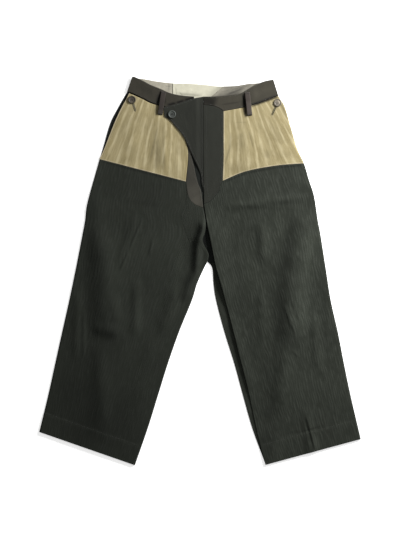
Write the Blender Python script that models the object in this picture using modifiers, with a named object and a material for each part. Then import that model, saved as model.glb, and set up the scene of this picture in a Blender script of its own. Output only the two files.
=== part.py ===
"""Wide cropped trousers with striped hip panels and a curved buttoned fly flap, laid flat, front up.

Sizes are in millimetres and become metres as each mesh is made. X runs to the right as one
looks down on the front, Y runs up to the waist and Z stands up from the surface that the
trousers lie on. The origin is in the middle of the outline, on that surface.

Each piece of cloth is a patch between four sewn or cut edges. Its underside follows one shared
surface, front_under(), so neighbours meet at the same height. Solidify gives it its wall.
"""

from collections import namedtuple

import bmesh
import bpy
import numpy as np

MM = 0.001
SEAM_GAP = 0.36
LAY_GAP = 0.3

# Wall thickness of each kind of cloth.
LEG_CLOTH = 1.8
HIP_CLOTH = 1.4
TWILL = 1.6
BAND = 2.0
LINING = 1.0

# Heights of the layers above the surface that they lie on.
LOOP_BELOW = 1.2
BACK_BAND_Z = LOOP_BELOW + LAY_GAP
LINING_Z = BACK_BAND_Z + TWILL + LAY_GAP
FRONT_LEG_Z = LEG_CLOTH + LAY_GAP
FRONT_BAND_Z = LINING_Z + LINING + LAY_GAP
BAND_RISE_FROM_Y = 300
BAND_RISE_TO_Y = 392

# The flap lies over the left band and comes down to the placket at the centre seam.
FLAP_LIFT = BAND + LAY_GAP
FLAP_DOWN_FROM_X = -11
FLAP_DOWN_TO_X = 3

LOOP_WIDTH = 12
LOOP_CLOTH = 1.6
LOOP_STEPS = 12
# How squarely an arched loop rises from its two sewn ends.
LOOP_ARCH_POWER = 0.7

BUTTON_RADIUS = 9.5
BUTTON_HEIGHT = 3.0
BUTTON_HOLE_RADIUS = 0.9
BUTTON_HOLE_SPREAD = 1.9
BUTTON_SIDES = 28
HOLE_SIDES = 8
HOLE_CUTTER_DEPTH = 12.0
WELD_DISTANCE = 0.01
SHARP_ANGLE = 0.7

# Outlines as seen from above: (x, y) from the middle of the outline, waist to hem.
OUTSEAM_LEFT = (
    (-174, 431), (-197, 391), (-216, 353), (-233, 295), (-250, 238), (-271, 161), (-276, 122),
    (-283, 84), (-298, 7), (-314, -70), (-331, -146), (-348, -223), (-365, -300), (-386, -386),
)
OUTSEAM_RIGHT = (
    (188, 420), (203, 396), (216, 353), (233, 295), (250, 258), (262, 218), (274, 180),
    (283, 122), (290, 84), (302, 7), (314, -70), (331, -146), (346, -223), (362, -300),
    (386, -403),
)
CROTCH = (18, 22)
INSEAM_LEFT = (
    CROTCH, (10, 7), (-7, -31), (-19, -70), (-50, -146), (-77, -223), (-101, -300),
    (-125, -377), (-156, -466),
)
INSEAM_RIGHT_BACK = (
    CROTCH, (29, 7), (32, -31), (38, -70), (58, -146), (82, -223), (103, -300), (125, -377),
    (156, -466),
)
INSEAM_RIGHT_FRONT = (
    (9, 161), (16, 118), (24, 78), (33, 34), (40, 2), (56, -54), (80, -146), (96, -210), (114, -280),
    (127, -340), (140, -400), (157, -465),
)
HEM_LEFT = ((-386, -386), (-156, -466))
HEM_RIGHT = ((157, -465), (386, -403))
BACK_HEM_LEFT = ((-385, -384), (-157, -463))
BACK_HEM_RIGHT = ((157, -464), (385, -401))
RISE_LEFT_FRONT = (
    (8, 151), (10, 142), (12, 130), (14, 112), (12, 92), (6, 75), (10, 62), (17, 49), (21, 38), CROTCH,
)
SEAT_SEAM = ((7, 406), (7, 218), (7, 98), CROTCH)
HIP_SEAM_LEFT = ((-242, 268), (-173, 250), (-103, 232), (-34, 214))
HIP_SEAM_RIGHT = ((54, 216), (108, 238), (180, 252), (250, 258))
POCKET_EDGE_LEFT = (
    (-170, 426), (-178, 410), (-188, 392), (-205, 356), (-217, 326), (-231, 291), (-242, 268),
)
HIP_EDGE_LEFT = ((-48, 385), (-38, 326), (-29, 290), (-29, 263), (-32, 234), (-34, 214))
HIP_PANEL_END_X = -48
UNDERLAP_TOP = ((-48, 385), (-34, 383))
UNDERLAP_CURVE = ((-34, 214), (-30, 185), (-22, 168))
UNDERLAP_FOOT = ((-22, 168), (-10, 158), (8, 151))
UNDERLAP_INNER = (
    (-34, 383), (-26, 338), (-23, 295), (-19, 270), (-14, 250), (-10, 230), (-4, 208), (3, 190),
    (8, 151),
)
PLACKET_SIDE = ((56, 383), (56, 314), (56, 269), (54, 216))
PLACKET_FOOT = ((54, 216), (48, 205), (46, 193), (35, 179), (23, 166), (9, 161))
BAND_TOP_LEFT = (
    (-164, 462), (-159, 466), (-137, 456), (-118, 446), (-96, 437), (-76, 428), (-58, 423),
    (-38, 420), (-14, 418),
)
BAND_FOOT_LEFT = ((-166, 429), (-137, 414), (-118, 404), (-96, 397), (-60, 388), (-14, 382))
BAND_TOP_RIGHT = (
    (8, 418), (31, 418), (67, 421), (97, 426), (110, 433), (131, 446), (146, 452), (158, 456),
    (176, 459),
)
BAND_FOOT_RIGHT = ((8, 398), (28, 396), (44, 391), (56, 383))
BAND_FOOT_HIP = ((56, 383), (105, 392), (128, 398), (154, 407), (188, 420))
BAND_END_LEFT = ((-164, 462), (-166, 429))
BAND_LAP_END = ((-14, 418), (-14, 382))
BAND_CENTRE_END = ((8, 418), (8, 398))
BAND_END_RIGHT = ((176, 459), (188, 420))
BACK_TOP = (
    (-163, 462), (-140, 461), (-99, 454), (-61, 450), (-22, 449), (16, 446), (43, 443),
    (85, 444), (116, 449), (143, 451), (175, 457),
)
BACK_FOOT = ((-173, 431), (-132, 420), (-60, 412), (7, 407), (72, 407), (132, 414), (187, 421))
FLAP_TOP = ((-88, 392), (-76, 395), (-57, 400), (-38, 406), (-17, 413), (8, 418))
FLAP_EDGE = (
    (-85, 370), (-71, 360), (-59, 346), (-47, 332), (-35, 314), (-22, 286), (-14, 268),
    (-5, 250), (2, 231), (5, 210), (8, 190),
)
CENTRE_SEAM = ((8, 398), (8, 300), (9, 161))
# The two seams of the lining: x at its top and x at its foot.
LINING_SEAMS = ((-67, -67), (57, 14))

# Belt loops: where each is sewn on, at its top and its foot, and how far it stands off.
LOOPS_FRONT = {
    "belt_loop_front_left": ((-87, 430), (-96, 374), 2.6),
    "belt_loop_front_right": ((113, 428), (119, 372), 4.6),
}
LOOPS_BACK = {
    "belt_loop_back_left": ((-104, 451), (-110, 418)),
    "belt_loop_back_centre": ((7, 443), (7, 409)),
    "belt_loop_back_right": ((112, 445), (118, 414)),
}

# Buttons: centre and the turn of the four holes.
BUTTONS = {
    "button_fly": (-67, 375, 0.5),
    "button_side_left": (-163, 410, 0.2),
    "button_side_right": (186, 403, 1.0),
}
BUTTON_SEAT = 0.4
# From the middle of the top, out over the rim and back under: shares of radius and height.
BUTTON_PROFILE = (
    (0.0, 0.62), (0.55, 0.62), (0.68, 0.72), (0.76, 0.95), (0.86, 1.0), (0.95, 0.9),
    (1.0, 0.6), (0.96, 0.25), (0.8, 0.05), (0.6, 0.0), (0.0, 0.0),
)

Fold = namedtuple("Fold", "x0 y0 x1 y1 rise half_width")
# A fold is whole up to the first share of its half length and gone at the second.
FOLD_FADE = (0.45, 1.25)
# Ridges have a positive rise and troughs a negative one, along a line from 0 to 1.
FOLDS = (
    # The left leg: its slack, then the folds from hip to knee, the knee's cross fold, the shin.
    Fold(-150, 190, -265, -400, 3.0, 62),
    Fold(-238, 100, -226, -150, 9.0, 30),
    Fold(-250, 190, -246, 30, 3.0, 20),
    Fold(-292, -40, -298, -210, 3.0, 12),
    Fold(-150, 128, -196, 14, 3.2, 13),
    Fold(-152, -20, -156, -160, 3.2, 12),
    Fold(-206, -60, -198, -128, 2.6, 12),
    Fold(-258, -136, -190, -148, 4.0, 15),
    Fold(-240, -170, -230, -400, 4.0, 19),
    Fold(10, 122, -3, 64, 7.0, 9),
    Fold(-4, 84, -10, -14, 7.0, 9),
    Fold(-10, 0, -42, -70, 5.0, 12),
    Fold(-50, -40, -96, -150, 3.8, 15),
    Fold(-110, -150, -160, -320, 2.4, 24),
    # The right leg: its slack, the pocket edge that shows through, its inner edge, the long
    # folds from the pocket to the knee, and what is left of them on the shin.
    Fold(150, 170, 262, -410, 3.0, 62),
    Fold(56, 152, 256, 178, 4.0, 10),
    Fold(16, 130, 62, -90, 6.4, 32),
    Fold(66, -90, 122, -300, 3.6, 16),
    Fold(148, 118, 152, 20, 4.4, 13),
    Fold(146, -40, 152, -160, 3.0, 14),
    Fold(258, 140, 224, 6, 9.4, 30),
    Fold(222, 30, 220, -176, 10.0, 32),
    Fold(206, -170, 186, -330, 4.6, 17),
    Fold(272, -110, 284, -240, 3.4, 12),
    Fold(252, -330, 270, -450, 3.0, 12),
    # The hip panels, which are only a little slack.
    Fold(-150, 400, -170, 270, 1.4, 26),
    Fold(-90, 372, -84, 250, 1.6, 20),
    Fold(110, 372, 116, 250, 1.6, 22),
    Fold(180, 380, 212, 280, 1.4, 22),
)

Finish = namedtuple("Finish", "colour roughness metallic")
FINISHES = {
    "ribbed_cloth": Finish((0.024, 0.027, 0.023), 0.92, 0.0),
    "striped_cloth": Finish((0.34, 0.28, 0.16), 0.85, 0.0),
    "twill": Finish((0.030, 0.030, 0.026), 0.85, 0.0),
    "band_twill": Finish((0.075, 0.066, 0.050), 0.85, 0.0),
    "underlap_twill": Finish((0.070, 0.062, 0.052), 0.8, 0.0),
    "lining_cream": Finish((0.72, 0.68, 0.54), 0.9, 0.0),
    "lining_grey": Finish((0.42, 0.40, 0.33), 0.9, 0.0),
    "button_metal": Finish((0.16, 0.15, 0.13), 0.4, 0.7),
}


def clear_scene():
    for item in list(bpy.data.objects):
        bpy.data.objects.remove(item, do_unlink=True)


def new_collection(name, cutters=False):
    collection = bpy.data.collections.new(name)
    collection.hide_render = cutters
    bpy.context.scene.collection.children.link(collection)
    return collection


def material(name):
    made = bpy.data.materials.get(name)
    if made:
        return made
    finish = FINISHES[name]
    made = bpy.data.materials.new(name)
    made.use_nodes = True
    shader = made.node_tree.nodes["Principled BSDF"]
    shader.inputs["Base Color"].default_value = (*finish.colour, 1.0)
    shader.inputs["Roughness"].default_value = finish.roughness
    shader.inputs["Metallic"].default_value = finish.metallic
    return made


def smooth_step(value, start, end):
    t = np.clip((value - start) / (end - start), 0.0, 1.0)
    return t * t * (3 - 2 * t)


def fold_height(x, y, fold):
    """Height of one fold: a bell across its line, fading to nothing at the line's two ends."""
    start = np.array((fold.x0, fold.y0), float)
    run = np.array((fold.x1, fold.y1), float) - start
    length = np.hypot(*run)
    along = ((x - start[0]) * run[0] + (y - start[1]) * run[1]) / length**2
    across = ((x - start[0]) * run[1] - (y - start[1]) * run[0]) / length
    fade = 1 - smooth_step(np.abs(2 * along - 1), *FOLD_FADE)
    return fold.rise * fade * np.exp(-((across / fold.half_width) ** 2))


def front_under(x, y):
    """The underside of the front: it lies on the back, and rises on its folds and at the band."""
    lie = FRONT_LEG_Z + (FRONT_BAND_Z - FRONT_LEG_Z) * smooth_step(y, BAND_RISE_FROM_Y, BAND_RISE_TO_Y)
    slack = sum(fold_height(x, y, fold) for fold in FOLDS)
    return lie + np.maximum(slack, 0.0)


def flap_under(x, y):
    """The underside of the flap: lifted over the left band, and down at the centre seam."""
    down = smooth_step(x, FLAP_DOWN_FROM_X, FLAP_DOWN_TO_X)
    return front_under(x, y) + FLAP_LIFT * (1 - down)


def flat_at(z):
    """A level underside at the height z."""
    return lambda x, y: np.full_like(x, z)


def smooth_line(points, steps_per_span=24):
    """A dense Catmull-Rom curve through the points."""
    p = np.array(points, float)
    p = np.vstack((2 * p[0] - p[1], p, 2 * p[-1] - p[-2]))
    t = np.linspace(0, 1, steps_per_span, endpoint=False)[:, None]
    spans = []
    for a, b, c, d in zip(p[:-3], p[1:-2], p[2:-1], p[3:]):
        spans.append(
            0.5 * (2 * b + (c - a) * t + (2 * a - 5 * b + 4 * c - d) * t**2 + (3 * b - a - 3 * c + d) * t**3)
        )
    return np.vstack((*spans, p[-2:-1]))


def spaced(points, steps):
    """The curve through the points, cut into equal steps."""
    line = smooth_line(points)
    run = np.concatenate(((0,), np.cumsum(np.hypot(*np.diff(line, axis=0).T))))
    at = np.linspace(0, run[-1], steps + 1)
    return np.column_stack([np.interp(at, run, line[:, i]) for i in range(2)])


def chained(*runs):
    """Several curves end to end, each a pair of its points and its steps."""
    lines = [spaced(points, steps) for points, steps in runs]
    return np.vstack([lines[0], *(line[1:] for line in lines[1:])])


def trimmed(points, axis, start, end):
    """The points of the curve between two values of one coordinate, ends worked out exactly."""
    line = smooth_line(points)
    value = line[:, axis]
    if value[0] > value[-1]:
        value, line = value[::-1], line[::-1]
    low, high = sorted((start, end))
    ends = [[np.interp(v, value, line[:, i]) for i in range(2)] for v in (low, high)]
    keep = line[(value > low) & (value < high)]
    picked = np.vstack((ends[0], keep[:: max(1, len(keep) // 12)], ends[1]))
    return picked if start < end else picked[::-1]


def patch_grid(top, foot, left, right):
    """A Coons patch: rows run from left to right, and go from the top edge to the foot."""
    u = np.linspace(0, 1, len(top))[None, :, None]
    v = np.linspace(0, 1, len(left))[:, None, None]
    ruled_v = (1 - v) * top[None] + v * foot[None]
    ruled_u = (1 - u) * left[:, None] + u * right[:, None]
    corners = (
        (1 - u) * (1 - v) * top[0] + u * (1 - v) * top[-1] + (1 - u) * v * foot[0] + u * v * foot[-1]
    )
    return ruled_v + ruled_u - corners


def pulled_in(grid, distance):
    """The grid with its four borders moved square to themselves, which leaves the seams' gap."""
    moved = grid.copy()
    for axis in (0, 1):
        rows = np.swapaxes(grid, 0, 1) if axis else grid
        target = np.swapaxes(moved, 0, 1) if axis else moved
        for border, inner in ((0, 1), (-1, -2)):
            tangent = np.gradient(rows[border], axis=0)
            square = np.column_stack((-tangent[:, 1], tangent[:, 0]))
            square /= np.linalg.norm(square, axis=1, keepdims=True)
            inwards = np.sign(np.sum(square * (rows[inner] - rows[border])))
            target[border] += distance * inwards * square
    return moved


def grid_object(name, grid, under, collection):
    """An open sheet on the grid, at the heights that under gives, with its faces up."""
    rows, columns = grid.shape[:2]
    x, y = grid[..., 0], grid[..., 1]
    points = np.stack((x, y, under(x, y)), axis=-1).reshape(-1, 3) * MM
    number = np.arange(rows * columns).reshape(rows, columns)
    faces = np.stack(
        (number[:-1, :-1], number[1:, :-1], number[1:, 1:], number[:-1, 1:]), axis=-1
    ).reshape(-1, 4)
    mesh = bpy.data.meshes.new(name)
    mesh.from_pydata(points.tolist(), [], faces.tolist())
    mesh.update()
    made = bpy.data.objects.new(name, mesh)
    collection.objects.link(made)
    return made


def give_wall(sheet, thickness, finish):
    wall = sheet.modifiers.new("wall", "SOLIDIFY")
    wall.thickness = thickness * MM
    wall.offset = 1.0
    wall.use_rim = True
    sheet.data.materials.append(material(finish))
    for face in sheet.data.polygons:
        face.use_smooth = True
    sheet.data.set_sharp_from_angle(angle=SHARP_ANGLE)


def cloth_piece(name, edges, under, thickness, finish, collection):
    """One cut piece of cloth: edges are its top, foot, left and right."""
    grid = pulled_in(patch_grid(*edges), SEAM_GAP / 2)
    sheet = grid_object(name, grid, under, collection)
    give_wall(sheet, thickness, finish)
    return sheet


def make_front_legs(parts):
    rows = 40
    cloth_piece(
        "front_leg_left",
        (
            chained((HIP_SEAM_LEFT, 12), (UNDERLAP_CURVE, 3), (UNDERLAP_FOOT, 3)),
            spaced(HEM_LEFT, 18),
            spaced(trimmed(OUTSEAM_LEFT, 1, 268, -386), rows),
            chained((RISE_LEFT_FRONT, 10), (INSEAM_LEFT, rows - 10)),
        ),
        front_under,
        LEG_CLOTH,
        "ribbed_cloth",
        parts,
    )
    cloth_piece(
        "front_leg_right",
        (
            chained((PLACKET_FOOT[::-1], 5), (HIP_SEAM_RIGHT, 12)),
            spaced(HEM_RIGHT, 17),
            spaced(INSEAM_RIGHT_FRONT, rows),
            spaced(trimmed(OUTSEAM_RIGHT, 1, 258, -403), rows),
        ),
        front_under,
        LEG_CLOTH,
        "ribbed_cloth",
        parts,
    )


def make_back_legs(parts):
    rows = 30
    seat_rows = 12
    cloth_piece(
        "back_leg_left",
        (
            spaced(trimmed(BACK_FOOT, 0, -173, 7), 8),
            spaced(BACK_HEM_LEFT, 8),
            spaced(OUTSEAM_LEFT[:-1] + BACK_HEM_LEFT[:1], rows),
            chained((SEAT_SEAM, seat_rows), (INSEAM_LEFT[:-1] + BACK_HEM_LEFT[1:], rows - seat_rows)),
        ),
        flat_at(0.0),
        LEG_CLOTH,
        "ribbed_cloth",
        parts,
    )
    cloth_piece(
        "back_leg_right",
        (
            spaced(trimmed(BACK_FOOT, 0, 7, 187), 8),
            spaced(BACK_HEM_RIGHT, 8),
            chained((SEAT_SEAM, seat_rows), (INSEAM_RIGHT_BACK[:-1] + BACK_HEM_RIGHT[:1], rows - seat_rows)),
            spaced(OUTSEAM_RIGHT[:-1] + BACK_HEM_RIGHT[1:], rows),
        ),
        flat_at(0.0),
        LEG_CLOTH,
        "ribbed_cloth",
        parts,
    )


def make_hip_panels(parts):
    rows = 12
    cloth_piece(
        "hip_panel_left",
        (
            spaced(trimmed(BAND_FOOT_LEFT, 0, -166, HIP_PANEL_END_X), 12),
            spaced(HIP_SEAM_LEFT, 12),
            spaced(POCKET_EDGE_LEFT, rows),
            spaced(HIP_EDGE_LEFT, rows),
        ),
        front_under,
        HIP_CLOTH,
        "striped_cloth",
        parts,
    )
    cloth_piece(
        "hip_panel_right",
        (
            spaced(BAND_FOOT_HIP, 12),
            spaced(HIP_SEAM_RIGHT, 12),
            spaced(PLACKET_SIDE, rows),
            spaced(trimmed(OUTSEAM_RIGHT, 1, 420, 258), rows),
        ),
        front_under,
        HIP_CLOTH,
        "striped_cloth",
        parts,
    )


def make_front_bands(parts):
    rows = 3
    cloth_piece(
        "waistband_front_left",
        (
            spaced(BAND_TOP_LEFT, 14),
            chained(
                (trimmed(BAND_FOOT_LEFT, 0, -166, HIP_PANEL_END_X), 12),
                (trimmed(BAND_FOOT_LEFT, 0, HIP_PANEL_END_X, -14), 2),
            ),
            spaced(BAND_END_LEFT, rows),
            spaced(BAND_LAP_END, rows),
        ),
        front_under,
        BAND,
        "band_twill",
        parts,
    )
    cloth_piece(
        "waistband_front_right",
        (
            spaced(BAND_TOP_RIGHT, 17),
            chained((BAND_FOOT_RIGHT, 5), (BAND_FOOT_HIP, 12)),
            spaced(BAND_CENTRE_END, rows),
            spaced(BAND_END_RIGHT, rows),
        ),
        front_under,
        BAND,
        "band_twill",
        parts,
    )


def make_back_band(parts):
    tops, feet = zip(*LINING_SEAMS)
    ends = (BACK_TOP[0][0], *tops, BACK_TOP[-1][0])
    foot_ends = (BACK_FOOT[0][0], *feet, BACK_FOOT[-1][0])
    cloth_piece(
        "waistband_back",
        (
            spaced(BACK_TOP, 20),
            spaced(BACK_FOOT, 20),
            spaced((BACK_TOP[0], BACK_FOOT[0]), 2),
            spaced((BACK_TOP[-1], BACK_FOOT[-1]), 2),
        ),
        flat_at(BACK_BAND_Z),
        TWILL,
        "band_twill",
        parts,
    )
    linings = ("left", "lining_grey"), ("centre", "lining_cream"), ("right", "lining_grey")
    for index, (side, finish) in enumerate(linings):
        top = spaced(trimmed(BACK_TOP, 0, ends[index], ends[index + 1]), 8)
        foot = spaced(trimmed(BACK_FOOT, 0, foot_ends[index], foot_ends[index + 1]), 8)
        cloth_piece(
            f"waistband_lining_{side}",
            (top, foot, spaced((top[0], foot[0]), 2), spaced((top[-1], foot[-1]), 2)),
            flat_at(LINING_Z),
            LINING,
            finish,
            parts,
        )


def make_fly(parts):
    cloth_piece(
        "fly_underlap",
        (
            spaced(UNDERLAP_TOP, 3),
            spaced(UNDERLAP_FOOT, 3),
            chained((HIP_EDGE_LEFT, 12), (UNDERLAP_CURVE, 3)),
            spaced(UNDERLAP_INNER, 15),
        ),
        front_under,
        TWILL,
        "underlap_twill",
        parts,
    )
    cloth_piece(
        "fly_placket",
        (
            spaced(BAND_FOOT_RIGHT, 5),
            spaced(PLACKET_FOOT[::-1], 5),
            spaced(CENTRE_SEAM, 12),
            spaced(PLACKET_SIDE, 12),
        ),
        front_under,
        TWILL,
        "twill",
        parts,
    )
    cloth_piece(
        "fly_flap",
        (
            spaced(FLAP_TOP, 12),
            spaced(FLAP_EDGE, 12),
            spaced((FLAP_TOP[0], FLAP_EDGE[0]), 10),
            spaced((FLAP_TOP[-1], FLAP_EDGE[-1]), 10),
        ),
        flap_under,
        TWILL,
        "twill",
        parts,
    )


def make_belt_loop(name, top, foot, base, arch, collection):
    """A flat strip from top to foot that stands off its base by the arch in its middle."""
    top, foot = np.array(top, float), np.array(foot, float)
    run = foot - top
    side = np.array((-run[1], run[0])) / np.hypot(*run) * LOOP_WIDTH / 2
    along = np.linspace(0, 1, LOOP_STEPS + 1)[:, None, None]
    across = np.linspace(-1, 1, 3)[None, :, None]
    grid = top + run * along + side * across

    def under(x, y):
        share = ((x - top[0]) * run[0] + (y - top[1]) * run[1]) / (run @ run)
        return base(x, y) + arch * np.sin(np.pi * np.clip(share, 0, 1)) ** LOOP_ARCH_POWER

    sheet = grid_object(name, grid, under, collection)
    give_wall(sheet, LOOP_CLOTH, "band_twill")


def make_belt_loops(parts):
    for name, (top, foot, arch) in LOOPS_FRONT.items():
        make_belt_loop(
            name, top, foot, lambda x, y: front_under(x, y) + BAND + LAY_GAP, arch, parts
        )
    for name, (top, foot) in LOOPS_BACK.items():
        sheet = make_flat_loop(name, top, foot, parts)
        give_wall(sheet, LOOP_BELOW, "band_twill")


def make_flat_loop(name, top, foot, collection):
    """A loop that lies flat under the back band."""
    left = np.array((top[0] - LOOP_WIDTH / 2, top[1]), float)
    right = left + (LOOP_WIDTH, 0)
    drop = np.array((foot[0] - top[0], foot[1] - top[1]), float)
    edges = (
        spaced((left, right), 2),
        spaced((left + drop, right + drop), 2),
        spaced((left, left + drop), 6),
        spaced((right, right + drop), 6),
    )
    return grid_object(name, patch_grid(*edges), flat_at(0.0), collection)


def make_button(name, centre, base_z, turn, parts, cutters):
    """A turned four-hole button with a raised rim, standing on base_z."""
    profile = [(x * BUTTON_RADIUS * MM, z * BUTTON_HEIGHT * MM) for x, z in BUTTON_PROFILE]
    mesh = bpy.data.meshes.new(name)
    mesh.from_pydata([(x, 0, z) for x, z in profile], [(i, i + 1) for i in range(len(profile) - 1)], [])
    button = bpy.data.objects.new(name, mesh)
    parts.objects.link(button)
    button.location = (centre[0] * MM, centre[1] * MM, base_z * MM)
    screw = button.modifiers.new("turned", "SCREW")
    screw.steps = BUTTON_SIDES
    screw.render_steps = BUTTON_SIDES
    screw.use_merge_vertices = True
    screw.merge_threshold = WELD_DISTANCE * MM
    mesh.materials.append(material("button_metal"))
    holes = bpy.data.meshes.new(f"{name}_holes")
    shape = bmesh.new()
    for step in range(4):
        angle = turn + step * np.pi / 2
        offset = BUTTON_HOLE_SPREAD * MM * np.array((np.cos(angle), np.sin(angle)))
        found = bmesh.ops.create_cone(
            shape, cap_ends=True, segments=HOLE_SIDES, radius1=BUTTON_HOLE_RADIUS * MM,
            radius2=BUTTON_HOLE_RADIUS * MM, depth=HOLE_CUTTER_DEPTH * MM,
        )
        bmesh.ops.translate(shape, verts=found["verts"], vec=(*offset, 0))
    shape.to_mesh(holes)
    shape.free()
    cutter = bpy.data.objects.new(f"{name}_holes", holes)
    cutter.location = button.location
    cutter.hide_render = True
    cutter.display_type = "WIRE"
    cutters.objects.link(cutter)
    cut = button.modifiers.new("holes", "BOOLEAN")
    cut.operation = "DIFFERENCE"
    cut.object = cutter
    cut.solver = "EXACT"


def make_buttons(parts, cutters):
    for name, (x, y, turn) in BUTTONS.items():
        at = np.array((float(x),)), np.array((float(y),))
        if name == "button_fly":
            base_z = flap_under(*at)[0] + TWILL
        else:
            base_z = front_under(*at)[0] + HIP_CLOTH
        make_button(name, (x, y), base_z + BUTTON_SEAT, turn, parts, cutters)


def main():
    clear_scene()
    parts = new_collection("trousers")
    cutters = new_collection("trousers_cutters", cutters=True)
    make_front_legs(parts)
    make_back_legs(parts)
    make_hip_panels(parts)
    make_front_bands(parts)
    make_back_band(parts)
    make_fly(parts)
    make_belt_loops(parts)
    make_buttons(parts, cutters)


main()
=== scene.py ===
"""The looks of wide cropped trousers with striped hip panels, laid flat with the front up.

Each piece of cloth is a closed shell on the form of its packed solid: a Coons patch between four
sewn or cut edges, lifted by one shared surface of folds. Sizes in the tables are millimetres in
the frame of the packed model. X runs to the right, Y to the waist and Z up off the surface.
"""

from collections import namedtuple

import bpy
import numpy as np
from bpy.props import FloatProperty, FloatVectorProperty, PointerProperty
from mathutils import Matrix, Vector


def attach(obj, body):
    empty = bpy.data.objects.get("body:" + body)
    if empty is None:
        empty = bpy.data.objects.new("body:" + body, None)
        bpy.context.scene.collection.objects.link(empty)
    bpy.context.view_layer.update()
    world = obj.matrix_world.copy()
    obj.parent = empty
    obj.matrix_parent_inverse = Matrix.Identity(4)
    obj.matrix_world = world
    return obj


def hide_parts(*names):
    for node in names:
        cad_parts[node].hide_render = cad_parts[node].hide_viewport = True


bl_info = {
    "name": "Striped Hip Trousers",
    "version": (1, 0, 0),
    "blender": (4, 5, 0),
    "location": "View3D > Sidebar > Trousers",
    "description": "Builds the cloth, sewing and buttons of a pair of trousers laid flat",
    "category": "Object",
}

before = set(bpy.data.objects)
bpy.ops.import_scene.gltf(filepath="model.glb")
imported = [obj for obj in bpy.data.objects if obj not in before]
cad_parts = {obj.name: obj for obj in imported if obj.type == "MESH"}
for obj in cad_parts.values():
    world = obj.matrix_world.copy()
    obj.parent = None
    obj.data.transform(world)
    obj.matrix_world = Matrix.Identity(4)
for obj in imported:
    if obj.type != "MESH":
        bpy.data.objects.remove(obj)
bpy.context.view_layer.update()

MM = 0.001
BODY = "root"

# Wall thickness of each kind of cloth, and the gap that two layers keep.
LEG_CLOTH = 1.8
HIP_CLOTH = 1.4
TWILL = 1.6
BAND = 2.0
LINING = 1.0
LAY_GAP = 0.3

# Heights of the layers above the surface that they lie on.
LOOP_BELOW = 1.2
BACK_BAND_Z = LOOP_BELOW + LAY_GAP
LINING_Z = BACK_BAND_Z + TWILL + LAY_GAP
FRONT_LEG_Z = LEG_CLOTH + LAY_GAP
FRONT_BAND_Z = LINING_Z + LINING + LAY_GAP
BAND_RISE_FROM_Y = 300
BAND_RISE_TO_Y = 392

# The flap lies over the left band and comes down to the placket at the centre seam.
FLAP_LIFT = BAND + LAY_GAP
FLAP_DOWN_FROM_X = -11
FLAP_DOWN_TO_X = 3

# Outlines as seen from above: (x, y) from the middle of the outline, waist to hem.
OUTSEAM_LEFT = (
    (-174, 431), (-197, 391), (-216, 353), (-233, 295), (-250, 238), (-271, 161), (-276, 122),
    (-283, 84), (-298, 7), (-314, -70), (-331, -146), (-348, -223), (-365, -300), (-386, -386),
)
OUTSEAM_RIGHT = (
    (188, 420), (203, 396), (216, 353), (233, 295), (250, 258), (262, 218), (274, 180),
    (283, 122), (290, 84), (302, 7), (314, -70), (331, -146), (346, -223), (362, -300),
    (386, -403),
)
CROTCH = (18, 22)
INSEAM_LEFT = (
    CROTCH, (10, 7), (-7, -31), (-19, -70), (-50, -146), (-77, -223), (-101, -300),
    (-125, -377), (-156, -466),
)
INSEAM_RIGHT_BACK = (
    CROTCH, (29, 7), (32, -31), (38, -70), (58, -146), (82, -223), (103, -300), (125, -377),
    (156, -466),
)
INSEAM_RIGHT_FRONT = (
    (9, 161), (16, 118), (24, 78), (33, 34), (40, 2), (56, -54), (80, -146), (96, -210), (114, -280),
    (127, -340), (140, -400), (157, -465),
)
HEM_LEFT = ((-386, -386), (-156, -466))
HEM_RIGHT = ((157, -465), (386, -403))
BACK_HEM_LEFT = ((-381, -385), (-161, -462))
BACK_HEM_LEFT_END = (-157, -463)
BACK_HEM_RIGHT = ((157, -464), (381, -402))
RISE_LEFT_FRONT = (
    (8, 151), (10, 142), (12, 130), (14, 112), (12, 92), (6, 75), (10, 62), (17, 49), (21, 38), CROTCH,
)
SEAT_SEAM = ((7, 406), (7, 218), (7, 98), CROTCH)
HIP_SEAM_LEFT = ((-242, 268), (-173, 250), (-103, 232), (-34, 214))
HIP_SEAM_RIGHT = ((54, 216), (108, 238), (180, 252), (250, 258))
POCKET_EDGE_LEFT = (
    (-170, 426), (-178, 410), (-188, 392), (-205, 356), (-217, 326), (-231, 291), (-242, 268),
)
HIP_EDGE_LEFT = ((-48, 385), (-38, 326), (-29, 290), (-29, 263), (-32, 234), (-34, 214))
UNDERLAP_CURVE = ((-34, 214), (-30, 185), (-22, 168))
UNDERLAP_FOOT = ((-22, 168), (-10, 158), (8, 151))
UNDERLAP_INNER = (
    (-34, 383), (-26, 338), (-23, 295), (-19, 270), (-14, 250), (-10, 230), (-4, 208), (3, 190),
    (8, 151),
)
PLACKET_SIDE = ((56, 383), (56, 314), (56, 269), (54, 216))
PLACKET_FOOT = ((54, 216), (48, 205), (46, 193), (35, 179), (23, 166), (9, 161))
CENTRE_SEAM = ((8, 398), (8, 300), (9, 161))
BAND_TOP_LEFT = (
    (-164, 462), (-159, 466), (-137, 456), (-118, 446), (-96, 437), (-76, 428), (-58, 423),
    (-38, 420), (-14, 418),
)
BAND_FOOT_LEFT = ((-175, 429), (-166, 427), (-137, 414), (-118, 404), (-96, 397), (-60, 388), (-14, 382))
BAND_TOP_RIGHT = (
    (8, 418), (31, 418), (67, 421), (97, 426), (110, 433), (131, 446), (146, 452), (158, 456),
    (176, 459),
)
BAND_FOOT_RIGHT = ((8, 398), (28, 396), (44, 391), (56, 383))
BAND_FOOT_HIP = ((56, 383), (105, 392), (128, 398), (154, 407), (188, 420))
BACK_TOP = (
    (-163, 462), (-140, 461), (-99, 454), (-61, 450), (-22, 449), (16, 446), (43, 443),
    (85, 444), (116, 449), (143, 451), (175, 457),
)
BACK_FOOT = ((-173, 431), (-132, 420), (-60, 412), (7, 407), (72, 407), (132, 414), (187, 421))
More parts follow.
